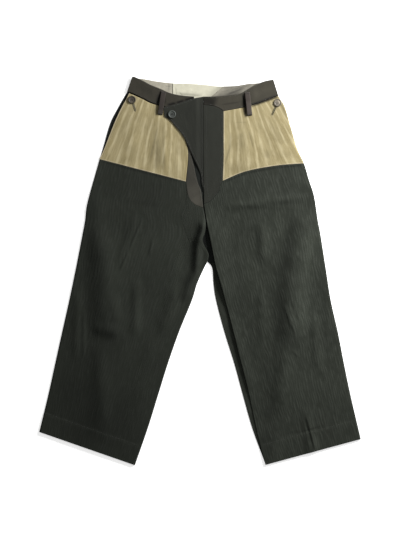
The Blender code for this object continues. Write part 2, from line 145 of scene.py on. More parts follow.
FLAP_TOP = ((-88, 392), (-76, 395), (-57, 400), (-38, 406), (-17, 413), (8, 418))
FLAP_EDGE = (
    (-85, 370), (-71, 360), (-59, 346), (-47, 332), (-35, 314), (-22, 286), (-14, 268),
    (-5, 250), (2, 231), (5, 210), (8, 190),
)
# The two seams of the lining: x at its top and x at its foot.
LINING_SEAMS = ((-67, -67), (57, 14))

# Belt loops: the node, the top, the foot, and how far the middle stands off.
Loop = namedtuple("Loop", "name top foot arch")
LOOPS_FRONT = (
    Loop("belt_loop_front_left", (-87, 430), (-96, 374), 2.6),
    Loop("belt_loop_front_right", (113, 428), (119, 372), 4.6),
)
LOOPS_BACK = (
    Loop("belt_loop_back_left", (-104, 451), (-110, 418), 0),
    Loop("belt_loop_back_centre", (7, 443), (7, 409), 0),
    Loop("belt_loop_back_right", (112, 445), (118, 414), 0),
)
LOOP_WIDTH = 12
LOOP_CLOTH = 1.6
# A loop's rounded border, and the groove of the stitching beside it.
LOOP_ROUND = 1.2
GROOVE_INSET = 2.2
GROOVE_HALF_WIDTH = 0.7
GROOVE_DEPTH = 0.25

# Buttons: the node, the centre, and the turn of the four holes.
Button = namedtuple("Button", "name x y turn")
BUTTONS = (
    Button("button_fly", -67, 375, 0.5),
    Button("button_side_left", -163, 410, 0.2),
    Button("button_side_right", 186, 403, 1.0),
)
BUTTON_SEAT = 0.4
BUTTON_HEIGHT = 3.0
BUTTON_HOLE = 0.9
BUTTON_HOLE_SPREAD = 1.9
# The profile of a button, as shares of its radius and height: its face, then its back.
BUTTON_RINGS = ((0, .62), (.55, .62), (.68, .72), (.76, .95), (.86, 1), (.95, .9), (1, .6))
BUTTON_BACK = ((.96, .25), (.8, .05), (.6, 0))
BUTTON_SIDES = 72
# The far ends of the slits that the side buttons close, and where the stitches begin.
BUTTONHOLE_ENDS = {"button_side_left": (-155, 384), "button_side_right": (173, 375)}
BUTTONHOLE_FROM = 0.28

Fold = namedtuple("Fold", "x0 y0 x1 y1 rise half_width")


def folds(*rows):
    """A table of folds: each row is the two ends of its line, its rise and half its width."""
    return tuple(Fold(*row) for row in rows)


# A ridge has a positive rise and a trough a negative one.
FOLDS = folds(
    # The left leg: its slack, then the folds from hip to knee, the knee's cross fold, the shin.
    (-150, 190, -265, -400, 3.0, 62), (-238, 100, -226, -150, 9.0, 30),
    (-250, 190, -246, 30, 3.0, 20), (-292, -40, -298, -210, 3.0, 12),
    (-150, 128, -196, 14, 3.2, 13), (-152, -20, -156, -160, 3.2, 12),
    (-206, -60, -198, -128, 2.6, 12), (-258, -136, -190, -148, 4.0, 15),
    (-240, -170, -230, -400, 4.0, 19), (10, 122, -3, 64, 7.0, 9), (-4, 84, -10, -14, 7.0, 9),
    (-10, 0, -42, -70, 5.0, 12), (-50, -40, -96, -150, 3.8, 15), (-110, -150, -160, -320, 2.4, 24),
    # The right leg: its slack, the pocket edge that shows through, its inner edge, the long
    # folds from the pocket to the knee, and what is left of them on the shin.
    (150, 170, 262, -410, 3.0, 62), (56, 152, 256, 178, 4.0, 10), (16, 130, 62, -90, 6.4, 32),
    (66, -90, 122, -300, 3.6, 16), (148, 118, 152, 20, 4.4, 13), (146, -40, 152, -160, 3.0, 14),
    (258, 140, 224, 6, 9.4, 30), (222, 30, 220, -176, 10.0, 32), (206, -170, 186, -330, 4.6, 17),
    (272, -110, 284, -240, 3.4, 12), (252, -330, 270, -450, 3.0, 12),
    # The hip panels, which are only a little slack.
    (-150, 400, -170, 270, 1.4, 26), (-90, 372, -84, 250, 1.6, 20), (110, 372, 116, 250, 1.6, 22),
    (180, 380, 212, 280, 1.4, 22),
)
# Sharper and smaller than the folds that the solids have.
CREASES = folds(
    (-139, 122, -170, 50, 1.6, 3.2), (-170, 50, -190, 2, 1.4, 3.0), (-114, 79, -121, 36, 1.2, 3.5),
    (-278, -94, -279, -204, 1.4, 4.5), (-43, -50, -62, -94, 1.2, 3.5),
    (202, -84, 226, -146, 1.5, 4.0), (214, -70, 236, -130, -1.2, 4.0),
    (221, -190, 238, -206, 1.3, 3.0), (250, -348, 271, -430, -2.0, 3.5),
    (256, -352, 277, -430, 1.2, 3.5), (70, 160, 240, 150, 0.9, 4.0), (52, 398, 98, 404, -0.9, 2.5),
)

# Mostly painted light and shade: each table makes a cloth darker or paler than its colour
# where folds, creases, recesses and cast shadows would darken it or the light would catch it.
# A few rows are the cloth's own seams, marks and colour.
# Each row is a fold's, and its rise is the change of brightness.
# On the legs, all painted: shade and light on the folds and creases, shade in the gap at the crotch, and
# shadows under the hip seams and along the hem's stitch line.
LEG_SHADES = folds(
    (-244, 90, -240, -140, -0.16, 32), (-252, 30, -250, -120, 0.10, 12),
    (-246, -128, -198, -158, -0.24, 20), (-146, -45, -146, -155, 0.12, 8),
    (-222, 130, -180, -70, 0.10, 26), (-250, -180, -262, -430, -0.12, 46),
    (-240, -220, -242, -400, 0.10, 12), (-170, -36, -168, -130, 0.12, 8),
    (-380, -330, -130, -400, -0.18, 80), (-280, -120, -220, -400, -0.10, 100),
    (-60, -60, -90, -160, 0.10, 22), (30, 60, 60, -60, 0.12, 18), (-240, 220, -50, 180, -0.12, 60),
    (6, 110, -6, 74, -0.55, 7), (-14, 76, -19, -10, -0.3, 10), (-18, 4, -42, -74, -0.3, 8),
    (14, 130, 2, 74, 0.3, 4), (-46, 76, -64, -140, 0.18, 10), (-198, 170, -80, 156, -0.12, 7),
    (-244, 265, -32, 211, -0.4, 2.2), (223, 140, 198, -40, -0.25, 14),
    (198, -30, 196, -190, -0.22, 15), (272, 100, 250, -50, 0.25, 16),
    (250, -30, 247, -160, 0.22, 14), (296, -20, 300, -200, -0.15, 7),
    (157, -190, 175, -380, -0.14, 14), (214, -190, 244, -360, 0.15, 24),
    (120, 70, 150, -170, 0.10, 22), (157, -390, 165, -470, -0.2, 16),
    (204, -391, 312, -370, -0.3, 2.0), (204, -396, 312, -375, 0.2, 2.4),
    (276, -388, 285, -440, 0.28, 8), (-138, 128, -172, 48, -0.3, 2.2),
    (-168, 54, -198, -6, -0.25, 2.2), (-113, 84, -122, 30, -0.2, 2.5),
    (54, 212, 112, 235, -0.4, 2.2), (104, 234, 184, 248, -0.4, 2.2),
    (176, 248, 252, 254, -0.4, 2.2),
)
# On the bands: painted shadows above the flap's edge, along the right band's foot and beside the loops,
# painted shade in a crease, a painted highlight along the right band's top edge, and the placket's darker
# colour over the middle of the right band.
BAND_SHADES = folds(
    (-79, 397, -57, 402.5, -0.95, 3.2), (-57, 402.5, -38, 408.5, -0.95, 3.2),
    (-38, 408.5, -12, 416, -0.95, 3.2), (119, 396, 156, 408.5, -0.95, 3.0),
    (152, 407.5, 192, 422.5, -0.95, 3.0), (-86, 422, -84, 400, -0.5, 3.0),
    (102, 424, 108, 398, -0.95, 2.6), (107, 410, 110, 368, -0.98, 4.2),
    (-93, 430, -96, 418, -0.8, 4.0), (-97, 422, -104, 394, -0.9, 4.4), (2, 412, 40, 400, -0.78, 18),
    (98, 429, 152, 454, 0.6, 1.2), (50, 398, 97, 405, -0.4, 1.6), (-150, 446, -110, 424, -0.18, 9),
    (126, 420, 170, 440, 0.20, 10),
)
# On the hip panels, all painted: shadows under the loops and the band, shade in their small
# creases, in the buttonholes' slits and along the right panel's edge, and light on their paler parts.
HIP_SHADES = folds(
    (107, 410, 110, 368, -0.98, 4.2), (-103, 402, -106, 372, -0.5, 3.4),
    (116, 392, 194, 420, -0.9, 2.6), (74, 334, 72, 296, -0.22, 1.6), (73, 302, 59, 252, -0.35, 1.5),
    (116, 338, 129, 290, -0.25, 1.8), (98, 332, 98, 290, -0.14, 6), (161, 288, 162, 268, -0.14, 6),
    (62, 250, 128, 236, -0.14, 12), (85, 356, 112, 356, -0.16, 1.2), (61, 380, 61, 290, 0.08, 5),
    (232, 310, 240, 268, 0.10, 7), (188, 424, 217, 350, -0.4, 4.5), (214, 356, 252, 256, -0.4, 4.5),
    (-102, 342, -120, 264, -0.32, 2.2), (-88, 336, -87, 236, -0.22, 3.0),
    (-101, 324, -106, 238, -0.20, 3.4), (-95, 302, -98, 250, -0.24, 1.6),
    (-100, 316, -104, 240, -0.12, 16), (-80, 332, -80, 238, 0.10, 4),
    (-182, 382, -228, 276, 0.12, 7), (-163, 410, -155, 383, -0.3, 3.2),
    (186, 402, 172, 374, -0.3, 3.2),
)
# The flap darker all over; the underlap darker towards its top, with a painted highlight near its foot; the
# front loops darker at the top of the right one and paler towards their feet.
FLAP_SHADES = folds((4, 440, 0, 170, -0.24, 34), (-80, 376, -16, 404, -0.10, 30))
UNDERLAP_SHADES = folds((-36, 260, -24, 200, -0.2, 20), (-14, 178, -4, 158, 0.25, 10))
LOOP_SHADES = folds(
    (112, 432, 115, 402, -0.35, 10), (118, 390, 119, 370, 0.2, 10), (-97, 386, -98, 372, 0.5, 8),
)
# On the buttons: painted light on the fly button's upper left and painted shade on its lower right, the
# paler thread in the left button's middle, and a painted highlight on the right button's upper right with
# painted shade on its left.
BUTTON_SHADES = {
    "button_fly": folds((-72, 379, -68, 380, 0.5, 3.0), (-64, 372, -62, 376, -0.2, 3.0)),
    "button_side_left": folds((-164, 408, -162, 402, 0.8, 2.6)),
    "button_side_right": folds((187, 404, 192, 406, 1.8, 3.6), (179, 405, 184, 396, -0.6, 3.0)),
}
# On the lining: its own dark seams and streaks, painted shadows over the left end and under the front
# band's edge, painted shade over the cream's right part and the right strip's foot, and painted light along
# the right strip's top and beside the cream.
LINING_SHADES = {
    "left": folds(
        (-170, 466, -175, 424, -0.96, 6.5), (-66, 456, -66, 408, -0.8, 1.1),
        (-75, 450, -74, 428, -0.4, 0.9), (-86, 444, -70, 442, -0.3, 0.8),
    ),
    "centre": folds(
        (-66, 456, -66, 408, -0.8, 1.1), (-58, 440, -56, 418, -0.35, 0.9),
        (-50, 430, -40, 418, -0.25, 1.2), (60, 448, 16, 404, -0.35, 12.0),
        (-56, 425, 6, 420, -0.4, 3.5),
    ),
    "right": folds(
        (57, 446, 30, 420, 0.7, 8.0), (24, 406, 104, 432, -0.55, 9.0),
        (50, 447, 150, 453, 0.6, 3.0), (66, 424, 110, 440, -0.3, 2.2),
        (76, 434, 120, 446, -0.25, 1.4),
    ),
}

# The turned-up hem, and how much thicker the leg is there.
HEM_DEPTH = 48
HEM_STEP = 0.9

# Rows of topstitching: the outlines that they follow, how far beside them (to the left of their
# run where positive), between which two values of x (axis 0) or y (axis 1), and on which cloth.
Row = namedtuple("Row", "outlines beside axis start end on")
DARK_ROWS = (
    Row((HEM_LEFT,), HEM_DEPTH, 0, -372, -148, "leg"),
    Row((HEM_RIGHT,), HEM_DEPTH, 0, 150, 368, "leg"),
    Row((BAND_TOP_LEFT,), -2.6, 0, -156, -28, "band"),
    Row((BAND_FOOT_LEFT,), 2.4, 0, -160, -94, "band"),
    Row((BAND_TOP_RIGHT,), -2.6, 0, 12, 172, "band"),
    Row((BAND_FOOT_RIGHT, BAND_FOOT_HIP), 2.4, 0, 12, 184, "band"),
    Row((FLAP_EDGE,), 3.5, 1, 366, 196, "flap"),
    Row((FLAP_TOP,), -3.0, 0, -84, 4, "flap"),
    Row((PLACKET_SIDE,), -3.0, 1, 376, 222, "twill"),
    Row((UNDERLAP_INNER,), -3.0, 1, 376, 166, "twill"),
)
# Rows that follow no outline: down the flap at the centre seam, and down the placket.
CENTRE_ROWS = (
    (((4.5, 413), (4.5, 300), (4.5, 206)), "flap"),
    (((16, 396), (16, 300), (17, 200), (22, 176)), "twill"),
)
POCKET_ROW_INSET = 6.0
# Bar tacks: the stitches in one, their length, and how far from the loop's end they lie.
BAR_TACK_STITCHES = 7
BAR_TACK_LENGTH = 2.2
BAR_TACK_INSET = 2.6

# How a shell ends at each of its sides: sewn down, turned in, or folded down to the surface.
# A folded side comes down up to top_y, and above that the back cloth is under it.
SEAM = "seam"
TURNED = "turned"
Folded = namedtuple("Folded", "top_y")
Borders = namedtuple("Borders", "top foot left right")
ALL_TURNED = Borders(TURNED, TURNED, TURNED, TURNED)
SEAM_RADIUS = 1.6
SEAM_DEPTH = 1.0
FOLD_RADIUS = 4.5
FLOOR_CLEAR = 0.1
BACK_INSET = 4.0
# How far the back legs reach over the gaps at their seams, so that no light comes through.
SEAM_LAP = 0.4
# Above this y the back legs' upper faces take the near-black wrong side: painted shade in the gaps at the
# crotch and the fly.
INSIDE_SHOWS_ABOVE_Y = 18
# How high the ribs or crinkles of each cloth stand.
BACK_RELIEF = 0.3
HIP_RELIEF = 0.35
BAND_RELIEF = 0.5
LINING_RELIEF = 0.7
TWILL_RELIEF = 0.3
BORDER_STATIONS = np.array((0.15, 0.4, 0.8, 1.3, 1.9, 2.6, 3.5, 4.6))

# The stage, in metres and watts: the lights are square and aim at the middle of the trousers.
CAMERA_LENS = 85
CAMERA_PLACE = (0.0, 0.0096, 3.026)
Lamp = namedtuple("Lamp", "name place energy size")
LAMPS = (Lamp("key", (1.2, 1.0, 0.78), 64, 0.4), Lamp("top", (0.6, 0.6, 2.2), 9, 1.4))
SKY_STRENGTH = 0.26
FLOOR_GLOW = 0.5
FLOOR_HALF = 4
FLOOR_LINES = 9
FLOOR_Z = -0.0002


def length_property(name, description, default, low):
    return FloatProperty(name=name, description=description, default=default, min=low, unit="LENGTH")


class TrousersSizes(bpy.types.PropertyGroup):
    """Sizes that change how the cloth and its sewing look."""

    rib_pitch: length_property("Rib pitch", "From one rib of the leg cloth to the next", 0.0058, 0.002)
    rib_height: length_property("Rib height", "How far the ribs stand above the troughs", 0.00055, 0.0)
    stripe_pitch: length_property(
        "Stripe pitch", "From one broad stripe of the hip panels to the next", 0.022, 0.004
    )
    stitch_length: length_property("Stitch length", "One stitch of the topstitching", 0.0028, 0.001)
    thread_radius: length_property(
        "Thread radius", "Half the thickness of the sewing thread", 0.00026, 0.0001
    )
    button_radius: length_property("Button radius", "Radius of all three buttons", 0.0095, 0.004)


def colour_property(name, description, default):
    return FloatVectorProperty(
        name=name, description=description, default=default, size=3, min=0.0, max=1.0, subtype="COLOR"
    )


class TrousersColours(bpy.types.PropertyGroup):
    """Colours of the cloths, threads and buttons."""

    # Paler crests and darker troughs: partly wear on the ribs, partly painted shade in the troughs.
    rib_trough: colour_property("Rib trough", "Leg cloth between its ribs", (0.0150, 0.0172, 0.0129))
    rib_crest: colour_property("Rib crest", "Leg cloth on top of its ribs", (0.031, 0.0345, 0.0275))
    # Near black: the inside's own dark colour with painted shade for the gaps where it shows.
    reverse: colour_property("Reverse", "Inside of the leg cloth", (0.006, 0.007, 0.006))
    khaki: colour_property("Khaki", "Ground of the hip panels", (0.27, 0.228, 0.124))
    khaki_dark: colour_property("Khaki, dark", "Darker stripes of the hip panels", (0.19, 0.155, 0.075))
    khaki_light: colour_property("Khaki, light", "Lighter stripes of the hip panels", (0.38, 0.33, 0.20))
    # Painted highlight: the hip panels' raised edges made paler where they catch the light.
    khaki_highlight: colour_property("Khaki, edge", "Rubbed edges of the hip panels", (0.50, 0.43, 0.31))
    twill: colour_property("Twill", "Fly flap and placket", (0.0165, 0.0175, 0.0135))
    band: colour_property("Band", "Waistband and belt loops", (0.034, 0.031, 0.023))
    underlap: colour_property("Underlap", "Grey-brown strip of the fly", (0.036, 0.034, 0.027))
    cream: colour_property("Cream", "Middle of the waistband lining", (0.43, 0.415, 0.325))
    grey: colour_property("Grey", "Sides of the waistband lining", (0.29, 0.27, 0.215))
    dark_thread: colour_property("Dark thread", "Thread on the dark cloth", (0.022, 0.022, 0.018))
    tan_thread: colour_property("Tan thread", "Thread on the hip panels", (0.30, 0.25, 0.15))
    olive_thread: colour_property("Olive thread", "Thread of the side buttonholes", (0.085, 0.07, 0.027))
    button: colour_property("Fly button", "Grey button of the fly", (0.031, 0.035, 0.031))
    button_brown: colour_property("Left button", "Brown button at the left side", (0.033, 0.026, 0.018))
    button_tan: colour_property("Right button", "Tan button at the right side", (0.17, 0.148, 0.115))
    loop: colour_property("Belt loops", "Brown of the front belt loops", (0.053, 0.044, 0.038))
    floor: colour_property("Floor", "The surface under the trousers", (0.90, 0.90, 0.89))


def size(name):
    """One of the panel's sizes, in millimetres."""
    return getattr(bpy.context.scene.trousers_sizes, name) / MM


def dye(name, share=1.0):
    """One of the panel's colours, times a share."""
    return tuple(value * share for value in getattr(bpy.context.scene.trousers_colours, name))


def operator_on(operation, reflected=False):
    """A Value's operator as a Math node; the reflected form takes the other operand first."""
    def apply(value, other):
        return value.math(operation, *((other, value) if reflected else (value, other)))

    return apply


class Value:
    """A number that a node puts out; arithmetic on it adds Math nodes to the same tree."""

    def __init__(self, board, socket):
        self.board = board
        self.socket = socket

    def math(self, operation, *operands):
        return self.board.node("ShaderNodeMath", {"operation": operation}, *operands).out()

    __add__, __radd__ = operator_on("ADD"), operator_on("ADD", reflected=True)
    __sub__, __rsub__ = operator_on("SUBTRACT"), operator_on("SUBTRACT", reflected=True)
    __mul__, __rmul__ = operator_on("MULTIPLY"), operator_on("MULTIPLY", reflected=True)
    __pow__ = operator_on("POWER")

    def sin(self):
        return self.math("SINE", self)

    def clamped(self):
        return self.math("MAXIMUM", self.math("MINIMUM", self, 1.0), 0.0)


class Node:
    """One node with its outputs by name or number."""

    def __init__(self, board, node):
        self.board = board
        self.node = node

    def out(self, key=0):
        return Value(self.board, self.node.outputs[key])


class Board:
    """A material's node tree with a Principled shader at its end."""

    def __init__(self, name):
        self.material = bpy.data.materials.new(name)
        self.material.use_nodes = True
        self.tree = self.material.node_tree
        self.shader = self.tree.nodes["Principled BSDF"]

    def set(self, socket, value):
        if isinstance(value, Value):
            self.tree.links.new(value.socket, socket)
        else:
            socket.default_value = value

    def node(self, kind, settings=None, *values, **named):
        """A node of that type: its settings first, then its inputs in order or by name."""
        node = self.tree.nodes.new(kind)
        for key, value in (settings or {}).items():
            setattr(node, key, value)
        for index, value in enumerate(values):
            self.set(node.inputs[index], value)
        for key, value in named.items():
            self.set(node.inputs[key.replace("_", " ")], value)
        return Node(self, node)

    def mix(self, factor, first, second, blend="MIX"):
        """Two colours mixed by a Mix node, whose colour sockets are inputs 6 and 7 and output 2."""
        node = self.tree.nodes.new("ShaderNodeMix")
        node.data_type = "RGBA"
        node.blend_type = blend
        self.set(node.inputs[0], factor)
        for index, colour in ((6, first), (7, second)):
            self.set(node.inputs[index], (*colour, 1.0) if isinstance(colour, tuple) else colour)
        return Value(self, node.outputs[2])

    def shaded(self, colour, factor):
        """The colour times a grey of that brightness."""
        grey = self.node("ShaderNodeCombineColor", None, factor, factor, factor).out()
        return self.mix(1.0, colour, grey, "MULTIPLY")

    def cloth_place(self):
        """Distance across and down the cut piece in metres, from its own UV map."""
        uv = self.node("ShaderNodeUVMap", {"uv_map": "cloth"}).out()
        parts = self.node("ShaderNodeSeparateXYZ", None, uv)
        return parts.out(0), parts.out(1)

    def noise(self, x, y, scale_x, scale_y, detail=2.0, rough=0.5):
        """Noise from 0 to 1 over the cloth, with that many features a metre each way."""
        vector = self.node("ShaderNodeCombineXYZ", None, x * scale_x, y * scale_y, 0.0).out()
        made = self.node(
            "ShaderNodeTexNoise", {"noise_dimensions": "2D"}, Vector=vector, Scale=1.0,
            Detail=detail, Roughness=rough,
        )
        return made.out()

    def grain(self, scale, detail):
        """Noise from 0 to 1 through the object, with that many features a metre."""
        place = self.node("ShaderNodeTexCoord").out("Object")
        return self.node("ShaderNodeTexNoise", None, Vector=place, Scale=scale, Detail=detail).out()

    def attribute(self, name):
        return self.node("ShaderNodeAttribute", {"attribute_name": name}).out(2)

    def bump(self, height, strength, distance):
        node = self.node("ShaderNodeBump", None, Height=height, Strength=strength, Distance=distance)
        self.set(self.shader.inputs["Normal"], node.out())

    def finish(
        self, colour, roughness, sheen=0.0, sheen_roughness=0.5, metallic=0.0, specular=0.5,
        sheen_tint=(1.0, 1.0, 1.0),
    ):
        for name, value in (
            ("Base Color", colour), ("Roughness", roughness), ("Metallic", metallic),
            ("Specular IOR Level", specular), ("Sheen Weight", sheen),
            ("Sheen Roughness", sheen_roughness), ("Sheen Tint", (*sheen_tint, 1.0)),
        ):
            self.set(self.shader.inputs[name], value)
        return self.material


def ribbed_cloth(name, trough, crest):
    """Dark cloth whose broken ribs are paler than the troughs between them."""
    board = Board(name)
    x, y = board.cloth_place()
    relief = board.attribute("relief")
    fibre = board.noise(x, y, 900, 260, 3.0, 0.6)
    cloud = board.noise(x, y, 14, 9, 3.0, 0.5)
    thread = ((y * 5200).sin() * 0.5 + 0.5) * 0.4 + fibre * 0.6
    # Paler crests and darker troughs: partly wear on the ribs, partly painted shade in the troughs.
    colour = board.mix((relief * 0.7 + fibre * 0.3 - 0.03).clamped(), trough, crest)
    # The shade attribute multiplies in the painted light and shade.
    colour = board.shaded(colour, (cloud * 0.5 + 0.75) * board.attribute("shade"))
    board.bump(thread, 0.35, 0.0006)
    return board.finish(
        colour, 0.92 - relief * 0.12, 0.08, 0.4, specular=0.12, sheen_tint=(0.85, 0.9, 0.85)
    )


def striped_cloth(name, phase):
    """Khaki with broad soft stripes down the cloth, uneven in width, and fine streaks in them."""
    board = Board(name)
    x, y = board.cloth_place()
    turn = 2 * np.pi / (size("stripe_pitch") * MM)
    sway = board.noise(x, y, 26, 9, 2.0, 0.5) * 5.0
    broad = (x * turn + sway + phase).sin() * 0.5 + 0.5
    second = (x * (turn * 0.43) + sway * 0.5 + phase * 2.3).sin() * 0.5 + 0.5
    broken = board.noise(x, y, 55, 22, 2.0, 0.6)
    streak = board.noise(x, y, 300, 26, 3.0, 0.6)
    cloud = board.noise(x, y, 30, 26, 4.0, 0.6)
    darker = second * 0.45 + broken * 0.7 + (streak - 0.5) * 0.9 - 0.1
    colour = board.mix(darker.clamped(), dye("khaki_dark"), dye("khaki"))
    paler = (broad ** 3.5 * (broken * 2.2 - 0.35) + (streak - 0.5) * 0.9).clamped()
    colour = board.mix(paler * 0.72, colour, dye("khaki_light"))
    # A painted highlight along the raised edges, from the relief attribute.
    colour = board.mix(board.attribute("relief") * 0.55, colour, dye("khaki_highlight"))
    # The shade attribute multiplies in the painted light and shade.
    colour = board.shaded(colour, (cloud * 0.3 + 0.85) * board.attribute("shade"))
    weave = (x * 4100).sin() * (y * 4100).sin() * 0.5 + streak
    board.bump(weave, 0.3, 0.0005)
    return board.finish(colour, 0.86, 0.05, 0.5, specular=0.2)


def plain_cloth(name, colour):
    """Twill: fine slanting lines in its bump, clouds and specks in its colour."""
    board = Board(name)
    x, y = board.cloth_place()
    fibre = board.noise(x, y, 700, 420, 3.0, 0.6)
    cloud = board.noise(x, y, 40, 30, 3.0, 0.55)
    line = ((x + y * 0.6) * 5200).sin() * 0.5 + 0.5
    # The shade attribute multiplies in the painted light and shade.
    shade = (cloud * 0.34 + fibre * 0.3 + line * 0.08 + 0.64) * board.attribute("shade")
    board.bump(line * 0.6 + fibre * 0.6, 0.3, 0.0005)
    return board.finish(board.shaded(colour, shade), 0.86, 0.05, 0.5, specular=0.15)


def lining_cloth(name, colour, stripe):
    """Thin cotton; the side strips have fine stripes across the band and small crinkles."""
    board = Board(name)
    x, y = board.cloth_place()
    line = (x * 2600 + board.noise(x, y, 60, 60) * 5.0).sin() * 0.5 + 0.5
    cloud = board.noise(x, y, 60, 80, 4.0, 0.6)
    fibre = board.noise(x, y, 800, 800, 2.0, 0.6)
    shade = 1.0 - line * stripe + (cloud - 0.5) * (0.2 + stripe) + (fibre - 0.5) * 0.12
    board.bump(line * stripe + fibre * 0.5 + cloud * 0.8, 0.35, 0.0008)
    # The shade attribute multiplies in the painted light and shade.
    return board.finish(board.shaded(colour, shade * board.attribute("shade")), 0.9)


def thread_material(name, colour):
    """Matt thread with a fine uneven twist."""
    board = Board(name)
    twist = board.grain(3500.0, 2.0)
    board.bump(twist, 0.4, 0.0002)
    return board.finish(board.shaded(colour, twist * 0.7 + 0.65), 0.6, 0.3, 0.4)


def button_material(name, middle, rim, metallic, roughness):
    """Worn metal: its middle and its rim have their own tones, and fine scratches cross both."""
    board = Board(name)
    scratch, stain = board.grain(1400.0, 5.0), board.grain(260.0, 3.0)
    worn = (board.attribute("relief") * 0.9 + (stain - 0.5) * 0.6).clamped()
    # The shade attribute multiplies in the painted highlights and shade.
    tone = board.shaded(board.mix(worn, middle, rim), board.attribute("shade"))
    board.bump(scratch, 0.25, 0.0002)
    return board.finish(tone, scratch * 0.14 + (roughness - 0.07), metallic=metallic)


def floor_material(name, colour):
    """A pale matt surface that glows a little, which keeps the shadows on it soft."""
    board = Board(name)
    board.shader.inputs["Emission Color"].default_value = (1.0, 1.0, 1.0, 1.0)
    board.shader.inputs["Emission Strength"].default_value = FLOOR_GLOW
    return board.finish(board.shaded(colour, board.grain(30.0, 4.0) * 0.02 + 0.99), 0.8)


def smooth_step(value, start, end):
    t = np.clip((value - start) / (end - start), 0.0, 1.0)
    return t * t * (3 - 2 * t)


def arc(share):
    """A quarter circle: 0 at a border, 1 at one radius from it and beyond."""
    return np.sqrt(1 - (1 - np.clip(share, 0.0, 1.0)) ** 2)


def noise(x, y, seed):
    """Value noise from -1 to 1: random heights at whole numbers, blended smoothly between."""
    table = np.random.default_rng(seed).uniform(-1, 1, (97, 89))
    column, row = np.floor(x).astype(int), np.floor(y).astype(int)
    u, v = smooth_step(x - column, 0, 1), smooth_step(y - row, 0, 1)

    def corner(i, j):
        return table[(column + i) % 97, (row + j) % 89]

    low = corner(0, 0) * (1 - u) + corner(1, 0) * u
    high = corner(0, 1) * (1 - u) + corner(1, 1) * u
    return low * (1 - v) + high * v


def fold_height(x, y, fold):
    """Height of one fold: a bell across its line, fading to nothing at the line's two ends."""
    start = np.array((fold.x0, fold.y0), float)
    run = np.array((fold.x1, fold.y1), float) - start
    length = np.hypot(*run)
    along = ((x - start[0]) * run[0] + (y - start[1]) * run[1]) / length**2
    across = ((x - start[0]) * run[1] - (y - start[1]) * run[0]) / length
    fade = 1 - smooth_step(np.abs(2 * along - 1), 0.45, 1.25)
    return fold.rise * fade * np.exp(-((across / fold.half_width) ** 2))


def shade_at(x, y, shades):
    """Brightness of the cloth at each point, as a share of its own colour."""
    return np.clip(1 + sum(fold_height(x, y, shade) for shade in shades), 0.04, 2.0) + 0 * x


def front_under(x, y):
    """The underside of the front: it lies on the back, and rises on its folds and at the band."""
    lie = FRONT_LEG_Z + (FRONT_BAND_Z - FRONT_LEG_Z) * smooth_step(y, BAND_RISE_FROM_Y, BAND_RISE_TO_Y)
    slack = sum(fold_height(x, y, fold) for fold in FOLDS)
    crease = sum(fold_height(x, y, fold) for fold in CREASES)
    return lie + np.maximum(slack, 0.0) + crease * smooth_step(slack + crease, -0.5, 0.5)


def flap_under(x, y):
    """The underside of the flap: lifted over the left band, and down at the centre seam."""
    down = smooth_step(x, FLAP_DOWN_FROM_X, FLAP_DOWN_TO_X)
    return front_under(x, y) + FLAP_LIFT * (1 - down)


def flat_at(z):
    return lambda x, y: np.full(np.shape(x), float(z))


def dense(points, steps_per_span=24):
    """A Catmull-Rom curve through the points, as a dense line."""
    p = np.array(points, float)
    p = np.vstack((2 * p[0] - p[1], p, 2 * p[-1] - p[-2]))
    t = np.linspace(0, 1, steps_per_span, endpoint=False)[:, None]
    spans = [
        0.5 * (2 * b + (c - a) * t + (2 * a - 5 * b + 4 * c - d) * t**2 + (3 * b - a - 3 * c + d) * t**3)
        for a, b, c, d in zip(p[:-3], p[1:-2], p[2:-1], p[3:])
    ]
    return np.vstack((*spans, p[-2:-1]))


def joined(*lines):
    return np.vstack([lines[0], *(line[1:] for line in lines[1:])])


def curve(*outlines):
    """One dense line through outlines that follow each other."""
    return joined(*(dense(outline) for outline in outlines))


def run_of(line):
    return np.concatenate(((0,), np.cumsum(np.hypot(*np.diff(line, axis=0).T))))


def along(line, shares):
    """Points at the given shares of the line's length."""
    run = run_of(line)
    return np.column_stack([np.interp(shares * run[-1], run, line[:, i]) for i in range(2)])


def between(line, axis, start, end):
    """The stretch of a line between two values of one coordinate, from start to end."""
    value = line[:, axis]
    if value[0] > value[-1]:
        value, line = value[::-1], line[::-1]
    low, high = sorted((start, end))
    ends = [[np.interp(v, value, line[:, i]) for i in range(2)] for v in (low, high)]
    picked = np.vstack((ends[0], line[(value > low) & (value < high)], ends[1]))
    return picked if start < end else picked[::-1]


def parallel(line, distance):
    """The line moved square to itself, to the left of its run where distance is positive."""
    tangent = np.gradient(line, axis=0)
    square = np.column_stack((-tangent[:, 1], tangent[:, 0]))
    return line + distance * square / np.linalg.norm(square, axis=1, keepdims=True)


def nudged(line, side, y_from, y_to, distance=BACK_INSET):
    """The line moved sideways towards side (1 or -1), growing from y_from down to y_to."""
    moved = line.copy()
    moved[:, 0] += side * distance * smooth_step(line[:, 1], y_from, y_to)
    return moved


Edges = namedtuple("Edges", "top foot left right")
Cloth = namedtuple("Cloth", "x y across down left right top foot")


def strip(top, foot):
    """The edges of a strip whose two ends are straight."""
    return Edges(top, foot, curve((top[0], foot[0])), curve((top[-1], foot[-1])))


def stations(length, step):
    """Shares of a length: close together at its two ends and about one step apart between."""
    count = max(2, int(round((length - 2 * BORDER_STATIONS[-1]) / step)))
    middle = np.linspace(BORDER_STATIONS[-1], length - BORDER_STATIONS[-1], count + 1)
    return np.concatenate((BORDER_STATIONS[:-1], middle, length - BORDER_STATIONS[-2::-1])) / length


